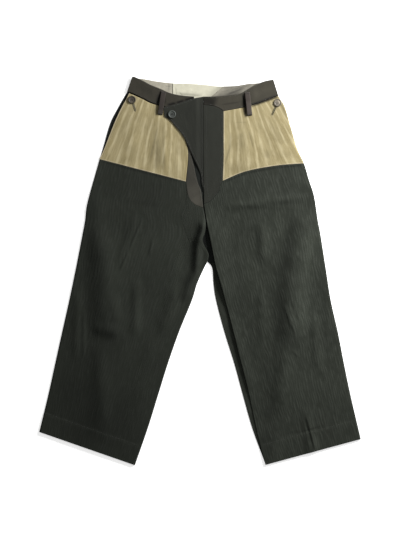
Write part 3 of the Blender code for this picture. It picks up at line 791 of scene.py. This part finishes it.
def cloth_grid(edges, step_across, step_down):
    """A Coons patch between four edges, with each point's distance to the four borders."""
    width = (run_of(edges.top)[-1] + run_of(edges.foot)[-1]) / 2
    height = (run_of(edges.left)[-1] + run_of(edges.right)[-1]) / 2
    u_line, v_line = stations(width, step_across), stations(height, step_down)
    u, v = u_line[None, :, None], v_line[:, None, None]
    top, foot = along(edges.top, u_line), along(edges.foot, u_line)
    left, right = along(edges.left, v_line), along(edges.right, v_line)
    corners = (
        (1 - u) * (1 - v) * edges.top[0] + u * (1 - v) * edges.top[-1]
        + (1 - u) * v * edges.foot[0] + u * v * edges.foot[-1]
    )
    grid = (1 - v) * top + v * foot + (1 - u) * left[:, None] + u * right[:, None] - corners
    steps_x = np.linalg.norm(np.diff(grid, axis=1), axis=2)
    steps_y = np.linalg.norm(np.diff(grid, axis=0), axis=2)
    from_left = np.concatenate((np.zeros((len(v_line), 1)), np.cumsum(steps_x, axis=1)), axis=1)
    from_top = np.concatenate((np.zeros((1, len(u_line))), np.cumsum(steps_y, axis=0)), axis=0)
    across = np.broadcast_to(u_line * width, from_left.shape)
    down = np.broadcast_to((v_line * height)[:, None], from_left.shape)
    return Cloth(
        grid[..., 0], grid[..., 1], across, down, from_left, from_left[:, -1:] - from_left,
        from_top, from_top[-1:] - from_top,
    )


def shell_heights(cloth, low, high, borders, thickness):
    """Top and underside of a shell after each border is finished in its own style."""
    for side, style in borders._asdict().items():
        distance = getattr(cloth, side)
        if style == SEAM:
            high = high - SEAM_DEPTH * (1 - arc(distance / SEAM_RADIUS))
        elif style == TURNED:
            middle = (low + high) / 2
            round_off = arc(distance / (0.55 * thickness))
            high = middle + (high - middle) * round_off
            low = middle + (low - middle) * round_off
        else:
            inside = smooth_step(cloth.y, style.top_y - 20, style.top_y)
            end = FLOOR_CLEAR + (low - FLOOR_CLEAR) * inside
            high = end + FLOOR_CLEAR + (high - end - FLOOR_CLEAR) * arc(distance / FOLD_RADIUS)
            low = end + (low - end) * arc((distance - thickness) / FOLD_RADIUS)
    return low, np.maximum(high, low + FLOOR_CLEAR)


def new_object(name, points, faces, relief=None, uv=None, shade=None):
    """A smooth-shaded mesh object from arrays, with its attributes and its cloth UV map."""
    mesh = bpy.data.meshes.new(name)
    mesh.from_pydata(points.tolist(), [], faces)
    mesh.update()
    for key, value in (("relief", relief), ("shade", shade)):
        if value is not None:
            attribute = mesh.attributes.new(key, "FLOAT", "POINT")
            attribute.data.foreach_set("value", np.ascontiguousarray(value, np.float32))
    if uv is not None:
        corner = np.zeros(len(mesh.loops), np.int32)
        mesh.loops.foreach_get("vertex_index", corner)
        layer = mesh.uv_layers.new(name="cloth")
        layer.data.foreach_set("uv", np.ascontiguousarray(uv[corner], np.float32).ravel())
    mesh.shade_smooth()
    made = bpy.data.objects.new(name, mesh)
    bpy.context.scene.collection.objects.link(made)
    return made


def closed_shell(name, cloth, low, high, relief, shades=()):
    """Top grid, underside grid and a rim of quads between their borders."""
    rows, columns = cloth.x.shape
    place = np.stack((cloth.x, cloth.y), axis=-1)
    top = np.concatenate((place, high[..., None]), axis=-1).reshape(-1, 3)
    bottom = np.concatenate((place, low[..., None]), axis=-1).reshape(-1, 3)
    number = np.arange(rows * columns).reshape(rows, columns)
    quads = np.stack((number[:-1, :-1], number[1:, :-1], number[1:, 1:], number[:-1, 1:]), axis=-1)
    quads = quads.reshape(-1, 4)
    ring = np.concatenate((number[0, :-1], number[:-1, -1], number[-1, :0:-1], number[:0:-1, 0]))
    after = np.roll(ring, -1)
    under = rows * columns
    rim = np.column_stack((ring, after, after + under, ring + under))
    faces = np.vstack((quads, quads[:, ::-1] + under, rim)).tolist()
    uv = np.stack((cloth.across, cloth.down), axis=-1).reshape(-1, 2) * MM
    return new_object(
        name,
        np.vstack((top, bottom)) * MM,
        faces,
        np.concatenate((relief.ravel(), np.full(under, 0.4))),
        np.vstack((uv, uv)),
        # The shade attribute: painted light and shade from the piece's table, on top and underside alike.
        np.tile(shade_at(cloth.x, cloth.y, shades).ravel(), 2),
    )


def rib_relief(across, down, seed):
    """Wavy, broken ribs down the cloth: a sine across it, bent and faded by noise; 0 to 1."""
    bent = across + 3.0 * noise(across / 12, down / 30, seed) + 1.4 * noise(across / 4, down / 11, seed + 1)
    wave = 0.5 + 0.5 * np.sin(2 * np.pi * bent / size("rib_pitch"))
    strength = np.clip(0.55 + 0.75 * noise(across / 5.5, down / 13, seed + 2), 0.05, 1.0)
    grain = 0.5 + 0.5 * noise(across / 2.4, down / 7, seed + 3)
    return np.clip(wave**1.3 * strength + 0.4 * (grain - 0.5) + 0.15, 0.0, 1.0)


def crinkle_relief(across, down, seed):
    """Small soft crinkles with no direction; 0 to 1."""
    return 0.5 + 0.3 * noise(across / 8, down / 14, seed) + 0.2 * noise(across / 3, down / 4, seed + 1)


def dress(piece, material, slot, *replaced):
    """Give a piece its material and slot; it rides on the body and stands for those nodes."""
    piece.data.materials.append(material)
    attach(piece, BODY)
    if replaced:
        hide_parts(*replaced)


def cloth_piece(
    name, edges, steps, under, thickness, borders, material, slot, node,
    relief=None, relief_height=0.0, lift=None, tone=None, shades=(), weave=None,
):
    """One cut piece of cloth as a closed shell that rides on the body and stands for its node.

    Its relief attribute is the shape of its ribs or crinkles, or what tone gives where it has one.
    """
    cloth = cloth_grid(edges, *steps)
    if weave is not None:
        cloth = cloth._replace(across=weave(cloth))
    low = under(cloth.x, cloth.y)
    shape = crinkle_relief(cloth.across, cloth.down, 7) if relief is None else relief(cloth)
    inside = np.minimum.reduce((cloth.left, cloth.right, cloth.top, cloth.foot))
    high = low + thickness + relief_height * (shape - 0.5) * arc(inside / 5)
    if lift is not None:
        high = high + lift(cloth)
    low, high = shell_heights(cloth, low, high, borders, thickness)
    piece = closed_shell(name, cloth, low, high, shape if tone is None else tone(cloth), shades)
    dress(piece, material, slot, node)
    return piece


def hem_lift(cloth):
    """The turned-up hem is thicker up to its stitch line, which pulls small puckers."""
    band = HEM_STEP * smooth_step(cloth.foot, HEM_DEPTH + 2, HEM_DEPTH - 1)
    pucker = 0.5 + 0.5 * noise(cloth.across / 6, cloth.foot / 40, 31)
    return band - 0.9 * pucker * np.exp(-(((cloth.foot - HEM_DEPTH) / 2.2) ** 2))


def leg_ribs(seed):
    return lambda cloth: rib_relief(cloth.across, cloth.down, seed)


def leg_edges():
    """The edges of the four leg pieces; those of the back lie a little inside the front's."""
    seat, back_foot = dense(SEAT_SEAM), dense(BACK_FOOT) + (0, SEAM_LAP)
    back_left = joined(seat + (SEAM_LAP, 0), dense(INSEAM_LEFT[:-1] + (BACK_HEM_LEFT_END,)))
    back_right = joined(seat, dense(INSEAM_RIGHT_BACK[:-1] + (BACK_HEM_RIGHT[0],)))
    return {
        "front_leg_left": Edges(
            curve(HIP_SEAM_LEFT, UNDERLAP_CURVE, UNDERLAP_FOOT), curve(HEM_LEFT),
            between(curve(OUTSEAM_LEFT), 1, 268, -386), curve(RISE_LEFT_FRONT, INSEAM_LEFT),
        ),
        "front_leg_right": Edges(
            curve(PLACKET_FOOT[::-1], HIP_SEAM_RIGHT), curve(HEM_RIGHT),
            curve(INSEAM_RIGHT_FRONT), between(curve(OUTSEAM_RIGHT), 1, 258, -403),
        ),
        "back_leg_left": Edges(
            between(back_foot, 0, -173, 7), curve(BACK_HEM_LEFT),
            nudged(curve(OUTSEAM_LEFT[:-1] + ((-385, -384),)), 1, 285, 250),
            nudged(back_left, -1, 15, -20),
        ),
        "back_leg_right": Edges(
            between(back_foot, 0, 7, 187), curve(BACK_HEM_RIGHT),
            back_right, nudged(curve(OUTSEAM_RIGHT[:-1] + ((385, -401),)), -1, 421, 400),
        ),
    }


def build_front_legs():
    """The two ribbed front legs, which fold down to the surface at their sides."""
    edges = leg_edges()
    # The left leg's crests take a darker copy of the colour: painted shade where the light falls off to the
    # left.
    for side, crest_share, borders, seed in (
        ("left", 0.62, Borders(SEAM, TURNED, Folded(268), Folded(22)), 11),
        ("right", 1.0, Borders(SEAM, TURNED, TURNED, Folded(500)), 23),
    ):
        cloth_piece(
            f"leg_front_{side}", edges[f"front_leg_{side}"], (1.5, 4.0), front_under, LEG_CLOTH, borders,
            ribbed_cloth(f"ribbed_cloth_{side}", dye("rib_trough"), dye("rib_crest", crest_share)),
            "ribbed_cloth", f"front_leg_{side}",
            leg_ribs(seed), size("rib_height"), hem_lift, shades=LEG_SHADES,
        )


def build_back_legs():
    """The upper face is the wrong side of the cloth, which shows at the crotch and the fly."""
    # The outside's crests take a darker copy of the colour: painted shade on the strip that turns away from
    # the light.
    outside = ribbed_cloth("ribbed_cloth_back", dye("rib_trough"), dye("rib_crest", 0.8))
    wrong_side_and_painted_shade = ribbed_cloth("ribbed_cloth_wrong_side", dye("reverse"), dye("reverse", 1.6))
    edges = leg_edges()
    for side, seed in (("left", 41), ("right", 53)):
        piece = cloth_piece(
            f"leg_back_{side}", edges[f"back_leg_{side}"], (3.0, 5.0), flat_at(0.0), LEG_CLOTH,
            ALL_TURNED, outside, "ribbed_cloth", f"back_leg_{side}", leg_ribs(seed), BACK_RELIEF,
        )
        piece.data.materials.append(wrong_side_and_painted_shade)
        polygons = piece.data.polygons
        centre, square = np.zeros(3 * len(polygons)), np.zeros(3 * len(polygons))
        polygons.foreach_get("center", centre)
        polygons.foreach_get("normal", square)
        inside = (square[2::3] > 0.3) & (centre[1::3] > INSIDE_SHOWS_ABOVE_Y * MM)
        polygons.foreach_set("material_index", inside.astype(np.int32))


def raised_edge_highlight(cloth):
    """1 on the outermost 1 mm of a hip panel's foot and left side, fading to 0 inside them."""
    nearest = np.minimum(cloth.foot, cloth.left)
    uneven = 0.75 + 0.25 * noise(cloth.across / 9, cloth.down / 9, 61)
    return (1 - smooth_step(nearest, 1.2, 3.4)) * uneven


def fan(pivot, spread):
    """Stripes that lean outwards from the pivot's x, more the further out they reach the seam."""
    def place(cloth):
        q = cloth.foot * spread
        outer = (cloth.x - q * pivot) / (1 - q)
        return np.where((cloth.x - pivot) * pivot > 0, outer, cloth.x)

    return place


def build_hip_panels():
    """The striped panels between the waistband and the front legs."""
    for side, edges, borders, phase, weave in (
        (
            "left",
            Edges(
                between(curve(BAND_FOOT_LEFT), 0, -166, -48), curve(HIP_SEAM_LEFT),
                curve(POCKET_EDGE_LEFT), curve(HIP_EDGE_LEFT),
            ),
            Borders(SEAM, SEAM, TURNED, SEAM), 0.4, fan(-60, 0.00235),
        ),
        (
            "right",
            Edges(
                curve(BAND_FOOT_HIP), curve(HIP_SEAM_RIGHT),
                curve(PLACKET_SIDE), between(curve(OUTSEAM_RIGHT), 1, 420, 258),
            ),
            Borders(SEAM, SEAM, SEAM, Folded(430)), 2.1, fan(62, 0.0028),
        ),
    ):
        cloth_piece(
            f"hip_{side}", edges, (2.0, 2.4), front_under, HIP_CLOTH, borders,
            striped_cloth(f"striped_cloth_{side}", phase), "striped_cloth", f"hip_panel_{side}",
            relief_height=HIP_RELIEF, tone=raised_edge_highlight, shades=HIP_SHADES,
            weave=weave,
        )


def build_waistbands():
    """The two front bands, and the back band that shows behind their dip."""
    band = plain_cloth("band_twill", dye("band"))
    # A darker copy of the band's colour: painted shade on the left band, where the light falls off; the
    # back band takes it too.
    dark_band = plain_cloth("band_twill_left", dye("band", 0.8))
    for side, top, foot, inner, material in (
        ("left", curve(BAND_TOP_LEFT), curve(BAND_FOOT_LEFT), TURNED, dark_band),
        ("right", curve(BAND_TOP_RIGHT), curve(BAND_FOOT_RIGHT, BAND_FOOT_HIP), SEAM, band),
    ):
        cloth_piece(
            f"band_front_{side}", strip(top, foot), (2.0, 1.6), front_under, BAND,
            Borders(TURNED, SEAM, inner, TURNED), material, "band_twill", f"waistband_front_{side}",
            relief_height=BAND_RELIEF, shades=BAND_SHADES,
        )
    cloth_piece(
        "band_back", strip(curve(BACK_TOP), curve(BACK_FOOT)), (3.0, 2.5), flat_at(BACK_BAND_Z), TWILL,
        ALL_TURNED, dark_band, "band_twill", "waistband_back",
    )


def build_lining():
    """The three strips inside the back band, each between two of its seams."""
    tops, feet = zip(*LINING_SEAMS)
    tops, feet = (BACK_TOP[0][0], *tops, BACK_TOP[-1][0]), (BACK_FOOT[0][0], *feet, BACK_FOOT[-1][0])
    cloths = (
        ("left", lining_cloth("lining_grey_left", dye("grey", 1.1), 0.3), "lining_grey"),
        ("centre", lining_cloth("lining_cream", dye("cream"), 0.0), "lining_cream"),
        # The right strip's darker copy of the grey is painted shade.
        ("right", lining_cloth("lining_grey_right", dye("grey", 0.6), 0.4), "lining_grey"),
    )
    for index, (side, material, slot) in enumerate(cloths):
        top = between(curve(BACK_TOP), 0, tops[index], tops[index + 1])
        foot = between(curve(BACK_FOOT), 0, feet[index], feet[index + 1])
        cloth_piece(
            f"lining_{side}", strip(top, foot), (1.6, 1.6), flat_at(LINING_Z), LINING,
            Borders(TURNED, TURNED, SEAM, SEAM), material, slot, f"waistband_lining_{side}",
            relief_height=LINING_RELIEF, shades=LINING_SHADES[side],
        )


def build_fly():
    """The underlap, the placket right of the centre seam, and the flap over both."""
    twill = plain_cloth("twill", dye("twill"))
    underlap = Edges(
        curve((HIP_EDGE_LEFT[0], UNDERLAP_INNER[0])), curve(UNDERLAP_FOOT),
        curve(HIP_EDGE_LEFT, UNDERLAP_CURVE), curve(UNDERLAP_INNER),
    )
    cloth_piece(
        "fly_underlap_cloth", underlap, (1.2, 2.4), front_under, TWILL,
        Borders(TURNED, SEAM, SEAM, TURNED), plain_cloth("underlap_twill", dye("underlap")),
        "underlap_twill", "fly_underlap", relief_height=TWILL_RELIEF,
        shades=UNDERLAP_SHADES,
    )
    placket = Edges(
        curve(BAND_FOOT_RIGHT), curve(PLACKET_FOOT[::-1]), curve(CENTRE_SEAM), curve(PLACKET_SIDE)
    )
    cloth_piece(
        "fly_placket_cloth", placket, (1.4, 2.4), front_under, TWILL, Borders(SEAM, SEAM, SEAM, SEAM),
        twill, "twill", "fly_placket", relief_height=TWILL_RELIEF,
    )
    cloth_piece(
        "fly_flap_cloth", strip(curve(FLAP_TOP), curve(FLAP_EDGE)), (1.4, 2.0), flap_under, TWILL,
        Borders(TURNED, TURNED, TURNED, SEAM), twill, "twill", "fly_flap",
        relief_height=TWILL_RELIEF,
        shades=FLAP_SHADES,
    )


def loop_grid(loop, columns=13, rows=41):
    """Points of a belt loop: rows from its top to its foot, columns across its width."""
    top, foot = np.array(loop.top, float), np.array(loop.foot, float)
    run = foot - top
    length = np.hypot(*run)
    side = np.array((-run[1], run[0])) / length * LOOP_WIDTH / 2
    share = np.linspace(0, 1, rows)[:, None] + np.zeros(columns)
    across = np.linspace(-1, 1, columns) + np.zeros((rows, 1))
    x = top[0] + run[0] * share + side[0] * across
    y = top[1] + run[1] * share + side[1] * across
    return x, y, share, across, length


def build_belt_loops():
    """Strips that arch off the front bands, or lie under the back band and show below it."""
    cloths = {
        # The left loop's darker copy of the colour is painted shade.
        "belt_loop_front_left": plain_cloth("loop_twill_left", dye("loop", 0.5)),
        "belt_loop_front_right": plain_cloth("loop_twill_right", dye("loop")),
    }
    behind = plain_cloth("loop_twill_back", dye("band"))
    for loop in LOOPS_FRONT + LOOPS_BACK:
        x, y, share, across, length = loop_grid(loop)
        if loop.arch:
            base = front_under(x, y) + BAND + LAY_GAP
            side = loop.name.rsplit("_", 1)[1]
            thickness, lies_on = LOOP_CLOTH, [f"hip_{side}", f"band_front_{side}"]
        else:
            base = 0.0
            thickness, lies_on = LOOP_BELOW, ["band_back"]
        low = base + loop.arch * np.sin(np.pi * share) ** 0.7
        from_side = (1 - np.abs(across)) * LOOP_WIDTH / 2
        border = np.minimum(from_side, np.minimum(share, 1 - share) * length)
        high = low + thickness * (0.55 + 0.45 * arc(border / LOOP_ROUND))
        high = high - GROOVE_DEPTH * np.exp(-(((from_side - GROOVE_INSET) / GROOVE_HALF_WIDTH) ** 2))
        grid = Cloth(x, y, across * LOOP_WIDTH / 2, share * length, border, border, border, border)
        piece = closed_shell(f"{loop.name}_cloth", grid, low, high, np.full(x.shape, 0.5), LOOP_SHADES)
        dress(piece, cloths.get(loop.name, behind), "band_twill", loop.name)


def button_base(button):
    """Height of the cloth under a button."""
    at = np.array((float(button.x),)), np.array((float(button.y),))
    if button.name == "button_fly":
        return float(flap_under(*at)[0]) + TWILL + BUTTON_SEAT
    return float(front_under(*at)[0]) + HIP_CLOTH + BUTTON_SEAT


def button_grid(button, radius):
    """A button turned from its profile, with four holes pressed into its face.

    Rings of points run from the middle of the face over the rim to the back, in shares of the
    radius and the height. Returns the rings, and how worn each point of the face is, 0 to 1.
    """
    share, rise = np.array(BUTTON_RINGS).T
    ring = np.concatenate((np.linspace(0.02, 0.55, 16), np.linspace(0.57, 1.0, 26)))[:, None]
    angle = np.linspace(0, 2 * np.pi, BUTTON_SIDES, endpoint=False)
    x, y = radius * ring * np.cos(angle), radius * ring * np.sin(angle)
    turns = button.turn + np.arange(4) * np.pi / 2
    near = np.min([
        np.hypot(x - BUTTON_HOLE_SPREAD * np.cos(turn), y - BUTTON_HOLE_SPREAD * np.sin(turn))
        for turn in turns
    ], axis=0)
    hole = 1 - smooth_step(near, BUTTON_HOLE * 0.75, BUTTON_HOLE * 1.1)
    height = np.interp(ring, share, rise) * (1 - 0.75 * hole)
    back, back_height = (column[:, None] for column in np.array(BUTTON_BACK).T)
    rings = np.stack((
        np.concatenate((x, radius * back * np.cos(angle))),
        np.concatenate((y, radius * back * np.sin(angle))),
        np.concatenate((height, back_height + 0 * angle)) * BUTTON_HEIGHT,
    ), axis=-1)
    return rings, smooth_step(height, 0.68, 0.98) * (1 - hole)


def build_buttons():
    """Three metal buttons, each with its own colour and wear."""
    grey, brown, tan = dye("button"), dye("button_brown"), dye("button_tan")
    materials = {
        "button_fly": button_material("button_grey", grey, dye("button", 1.7), 0.3, 0.6),
        "button_side_left": button_material("button_brown", brown, (0.028, 0.024, 0.012), 0.1, 0.6),
        "button_side_right": button_material("button_tan", tan, (0.12, 0.105, 0.08), 0.4, 0.42),
    }
    for button in BUTTONS:
        rings, worn = button_grid(button, size("button_radius"))
        poles = ((0, 0, rings[0, :, 2].mean()), (0, 0, 0))
        points = np.concatenate((rings.reshape(-1, 3), poles)) + (button.x, button.y, button_base(button))
        number = np.arange(rings.shape[0] * BUTTON_SIDES).reshape(-1, BUTTON_SIDES)
        after = np.roll(number, -1, axis=1)
        faces = np.stack((number[:-1], number[1:], after[1:], after[:-1]), axis=-1).reshape(-1, 4).tolist()
        faces += [(number.size, int(a), int(b)) for a, b in zip(number[0], after[0])]
        faces += [(number.size + 1, int(b), int(a)) for a, b in zip(number[-1], after[-1])]
        relief = np.full(len(points), 0.3)
        relief[:worn.size] = worn.ravel()
        # Painted light, shade and highlights from the button's table.
        shade = shade_at(points[:, 0], points[:, 1], BUTTON_SHADES[button.name])
        made = new_object(f"{button.name}_metal", points * MM, faces, relief, None, shade)
        dress(made, materials[button.name], "button_metal", button.name)


def capsules(starts, ends, radius, sides=6):
    """Closed little capsules between pairs of points: four rings and two poles each."""
    starts, ends = np.array(starts, float), np.array(ends, float)
    axis = ends - starts
    length = np.linalg.norm(axis, axis=1, keepdims=True)
    axis = axis / length
    side = np.column_stack((-axis[:, 1], axis[:, 0], 0 * axis[:, 0]))
    side = side / np.maximum(np.linalg.norm(side, axis=1, keepdims=True), 1e-9)
    up = np.cross(axis, side)
    angle = np.linspace(0, 2 * np.pi, sides, endpoint=False)[:, None]
    rings = [
        starts[:, None] + (axis * length * share)[:, None]
        + radius * wide * (side[:, None] * np.cos(angle) + up[:, None] * np.sin(angle))
        for share, wide in ((0.08, 0.6), (0.28, 1.0), (0.72, 1.0), (0.92, 0.6))
    ]
    points = np.concatenate([starts[:, None], *rings, ends[:, None]], axis=1)
    last = points.shape[1] - 1
    around = [(j, (j + 1) % sides) for j in range(sides)]
    faces = [(0, 1 + j, 1 + k) for j, k in around]
    for ring in range(1, last - sides, sides):
        faces += [(ring + j, ring + sides + j, ring + sides + k, ring + k) for j, k in around]
    faces += [(last, last - sides + k, last - sides + j) for j, k in around]
    every = [tuple(v + (last + 1) * i for v in face) for i in range(len(starts)) for face in faces]
    return points.reshape(-1, 3), every


def threads(starts, ends, top, share):
    """Both ends of each stitch, that share of a thread's radius above the cloth."""
    lift = share * size("thread_radius")
    return np.column_stack((starts, top(*starts.T) + lift)), np.column_stack((ends, top(*ends.T) + lift))


def stitch_row(line, top, gap=0.9):
    """The stitches along a line, a gap apart."""
    length, total = size("stitch_length"), run_of(line)[-1]
    count = max(1, int(total / (length + gap)))
    begin = np.arange(count) * total / count
    ends = np.minimum((begin + length) / total, 1.0)
    return threads(along(line, begin / total), along(line, ends), top, 0.45)


def bars(centres, directions, length, top):
    """Short stitches of one length across a line, at the given centres and directions."""
    half = directions / np.linalg.norm(directions, axis=1, keepdims=True) * length / 2
    return threads(centres - half, centres + half, top, 0.6)


def buttonhole_bars(start, end, top, offset=1.3, pitch=0.46, length=2.7):
    """Stitches square to a slit along both its sides and round its far end."""
    run = (end - start) / np.linalg.norm(end - start)
    side = np.array((-run[1], run[0]))
    steps = start + np.arange(0, np.linalg.norm(end - start), pitch)[:, None] * run
    turn = np.linspace(-1.2, 1.2, 5)[:, None]
    round_end = side * np.sin(turn) + run * np.cos(turn)
    centres = np.vstack((steps + side * offset, steps - side * offset, end + round_end * offset))
    directions = np.vstack((np.repeat(side[None], len(steps) * 2, axis=0), round_end))
    return bars(centres, directions, length, top)


def bar_tacks(loop):
    """A row of stitches along a belt loop across each of its ends."""
    x, y, *_ = loop_grid(loop, BAR_TACK_STITCHES + 2, 2)
    middle = (BAR_TACK_STITCHES + 1) // 2
    run = np.array((x[1, middle] - x[0, middle], y[1, middle] - y[0, middle]))
    run = run / np.linalg.norm(run)
    on_loop = on_cloth(front_under, BAND + LAY_GAP + LOOP_CLOTH + loop.arch * 0.28)
    return [
        bars(
            np.column_stack((x[row], y[row]))[1:-1] + run * inward * BAR_TACK_INSET,
            np.tile(run, (BAR_TACK_STITCHES, 1)), BAR_TACK_LENGTH, on_loop,
        )
        for row, inward in ((0, 1), (1, -1))
    ]


def on_cloth(under, thickness):
    return lambda x, y: under(x, y) + thickness


def thread_object(name, rows, dye_name, slot):
    """All the stitches of one thread as one mesh."""
    starts, ends = (np.concatenate(points) for points in zip(*rows))
    points, faces = capsules(starts, ends, size("thread_radius"))
    made = new_object(name, points * MM, faces)
    dress(made, thread_material(dye_name, dye(dye_name)), slot)


def build_stitching():
    """Topstitching along bands, fly, pocket edge and hems, buttonholes and bar tacks."""
    tops = {
        "leg": on_cloth(front_under, LEG_CLOTH + 0.1), "band": on_cloth(front_under, BAND),
        "hip": on_cloth(front_under, HIP_CLOTH), "twill": on_cloth(front_under, TWILL),
        "flap": on_cloth(flap_under, TWILL),
    }
    dark = [
        stitch_row(
            between(parallel(curve(*row.outlines), row.beside), row.axis, row.start, row.end), tops[row.on]
        )
        for row in DARK_ROWS
    ]
    dark += [stitch_row(curve(line), tops[on]) for line, on in CENTRE_ROWS]
    for loop in LOOPS_FRONT:
        dark += bar_tacks(loop)
    pocket = between(parallel(curve(POCKET_EDGE_LEFT), POCKET_ROW_INSET), 1, 420, 274)
    olive = []
    for button in BUTTONS:
        if button.name in BUTTONHOLE_ENDS:
            end = np.array(BUTTONHOLE_ENDS[button.name], float)
            start = np.array((button.x, button.y), float)
            olive.append(buttonhole_bars(start + (end - start) * BUTTONHOLE_FROM, end, tops["hip"]))
    thread_object("stitches_dark", dark, "dark_thread", "twill")
    thread_object("stitches_tan", [stitch_row(pocket, tops["hip"])], "tan_thread", "striped_cloth")
    thread_object("buttonhole_stitches", olive, "olive_thread", "striped_cloth")


def build_stage():
    """A pale floor, two soft lights, an even sky and a camera straight above."""
    scene = bpy.context.scene
    scene.view_settings.view_transform = "Standard"
    line = np.linspace(-FLOOR_HALF, FLOOR_HALF, FLOOR_LINES)
    x, y = np.meshgrid(line, line)
    points = np.stack((x, y, np.full(x.shape, FLOOR_Z)), axis=-1).reshape(-1, 3)
    number = np.arange(x.size).reshape(x.shape)
    quads = np.stack((number[:-1, :-1], number[:-1, 1:], number[1:, 1:], number[1:, :-1]), axis=-1)
    floor = new_object("floor", points, quads.reshape(-1, 4).tolist())
    floor.data.materials.append(floor_material("floor", dye("floor")))
    world = bpy.data.worlds.new("studio")
    world.use_nodes = True
    sky = world.node_tree.nodes["Background"]
    sky.inputs["Color"].default_value = (1.0, 1.0, 1.0, 1.0)
    sky.inputs["Strength"].default_value = SKY_STRENGTH
    scene.world = world
    for lamp in LAMPS:
        light = bpy.data.lights.new(lamp.name, "AREA")
        light.energy = lamp.energy
        light.size = lamp.size
        placed = bpy.data.objects.new(lamp.name, light)
        placed.location = lamp.place
        placed.rotation_euler = (-Vector(lamp.place)).to_track_quat("-Z", "Y").to_euler()
        scene.collection.objects.link(placed)
    camera = bpy.data.cameras.new("camera")
    camera.lens = CAMERA_LENS
    camera.sensor_fit = "AUTO"
    eye = bpy.data.objects.new("camera", camera)
    eye.location = CAMERA_PLACE
    scene.collection.objects.link(eye)
    scene.camera = eye


def operator(kind, label, doc, build):
    """An operator class that runs one builder."""

    def execute(self, context):
        build()
        return {"FINISHED"}

    return type(
        f"TROUSERS_OT_{kind}", (bpy.types.Operator,),
        {"bl_idname": f"trousers.{kind}", "bl_label": label, "__doc__": doc, "execute": execute},
    )


OPERATORS = (
    operator("back_legs", "Back legs", "Build the two back legs", build_back_legs),
    operator("front_legs", "Front legs", "Build the two ribbed front legs", build_front_legs),
    operator("hip_panels", "Hip panels", "Build the striped hip panels", build_hip_panels),
    operator("waistbands", "Waistbands", "Build the front and back waistbands", build_waistbands),
    operator("lining", "Lining", "Build the lining inside the back waistband", build_lining),
    operator("fly", "Fly", "Build the flap, placket and underlap", build_fly),
    operator("belt_loops", "Belt loops", "Build the five belt loops", build_belt_loops),
    operator("buttons", "Buttons", "Build the three buttons", build_buttons),
    operator("stitching", "Stitching", "Sew the topstitching, buttonholes and bar tacks", build_stitching),
    operator("stage", "Stage", "Build the floor, lights and camera", build_stage),
)


class TROUSERS_PT_panel(bpy.types.Panel):
    """Lists the pieces in the order in which they are built."""

    bl_label = "Trousers"
    bl_idname = "TROUSERS_PT_panel"
    bl_space_type = "VIEW_3D"
    bl_region_type = "UI"
    bl_category = "Trousers"

    def draw(self, context):
        for made in OPERATORS:
            self.layout.operator(made.bl_idname)


CLASSES = (TrousersSizes, TrousersColours, *OPERATORS, TROUSERS_PT_panel)


def register():
    for made in CLASSES:
        bpy.utils.register_class(made)
    bpy.types.Scene.trousers_sizes = PointerProperty(type=TrousersSizes)
    bpy.types.Scene.trousers_colours = PointerProperty(type=TrousersColours)


def unregister():
    del bpy.types.Scene.trousers_sizes
    del bpy.types.Scene.trousers_colours
    for made in reversed(CLASSES):
        bpy.utils.unregister_class(made)


def main():
    register()
    for made in OPERATORS:
        name = made.bl_idname.split(".")[1]
        getattr(bpy.ops.trousers, name)()


if __name__ == "__main__":
    main()
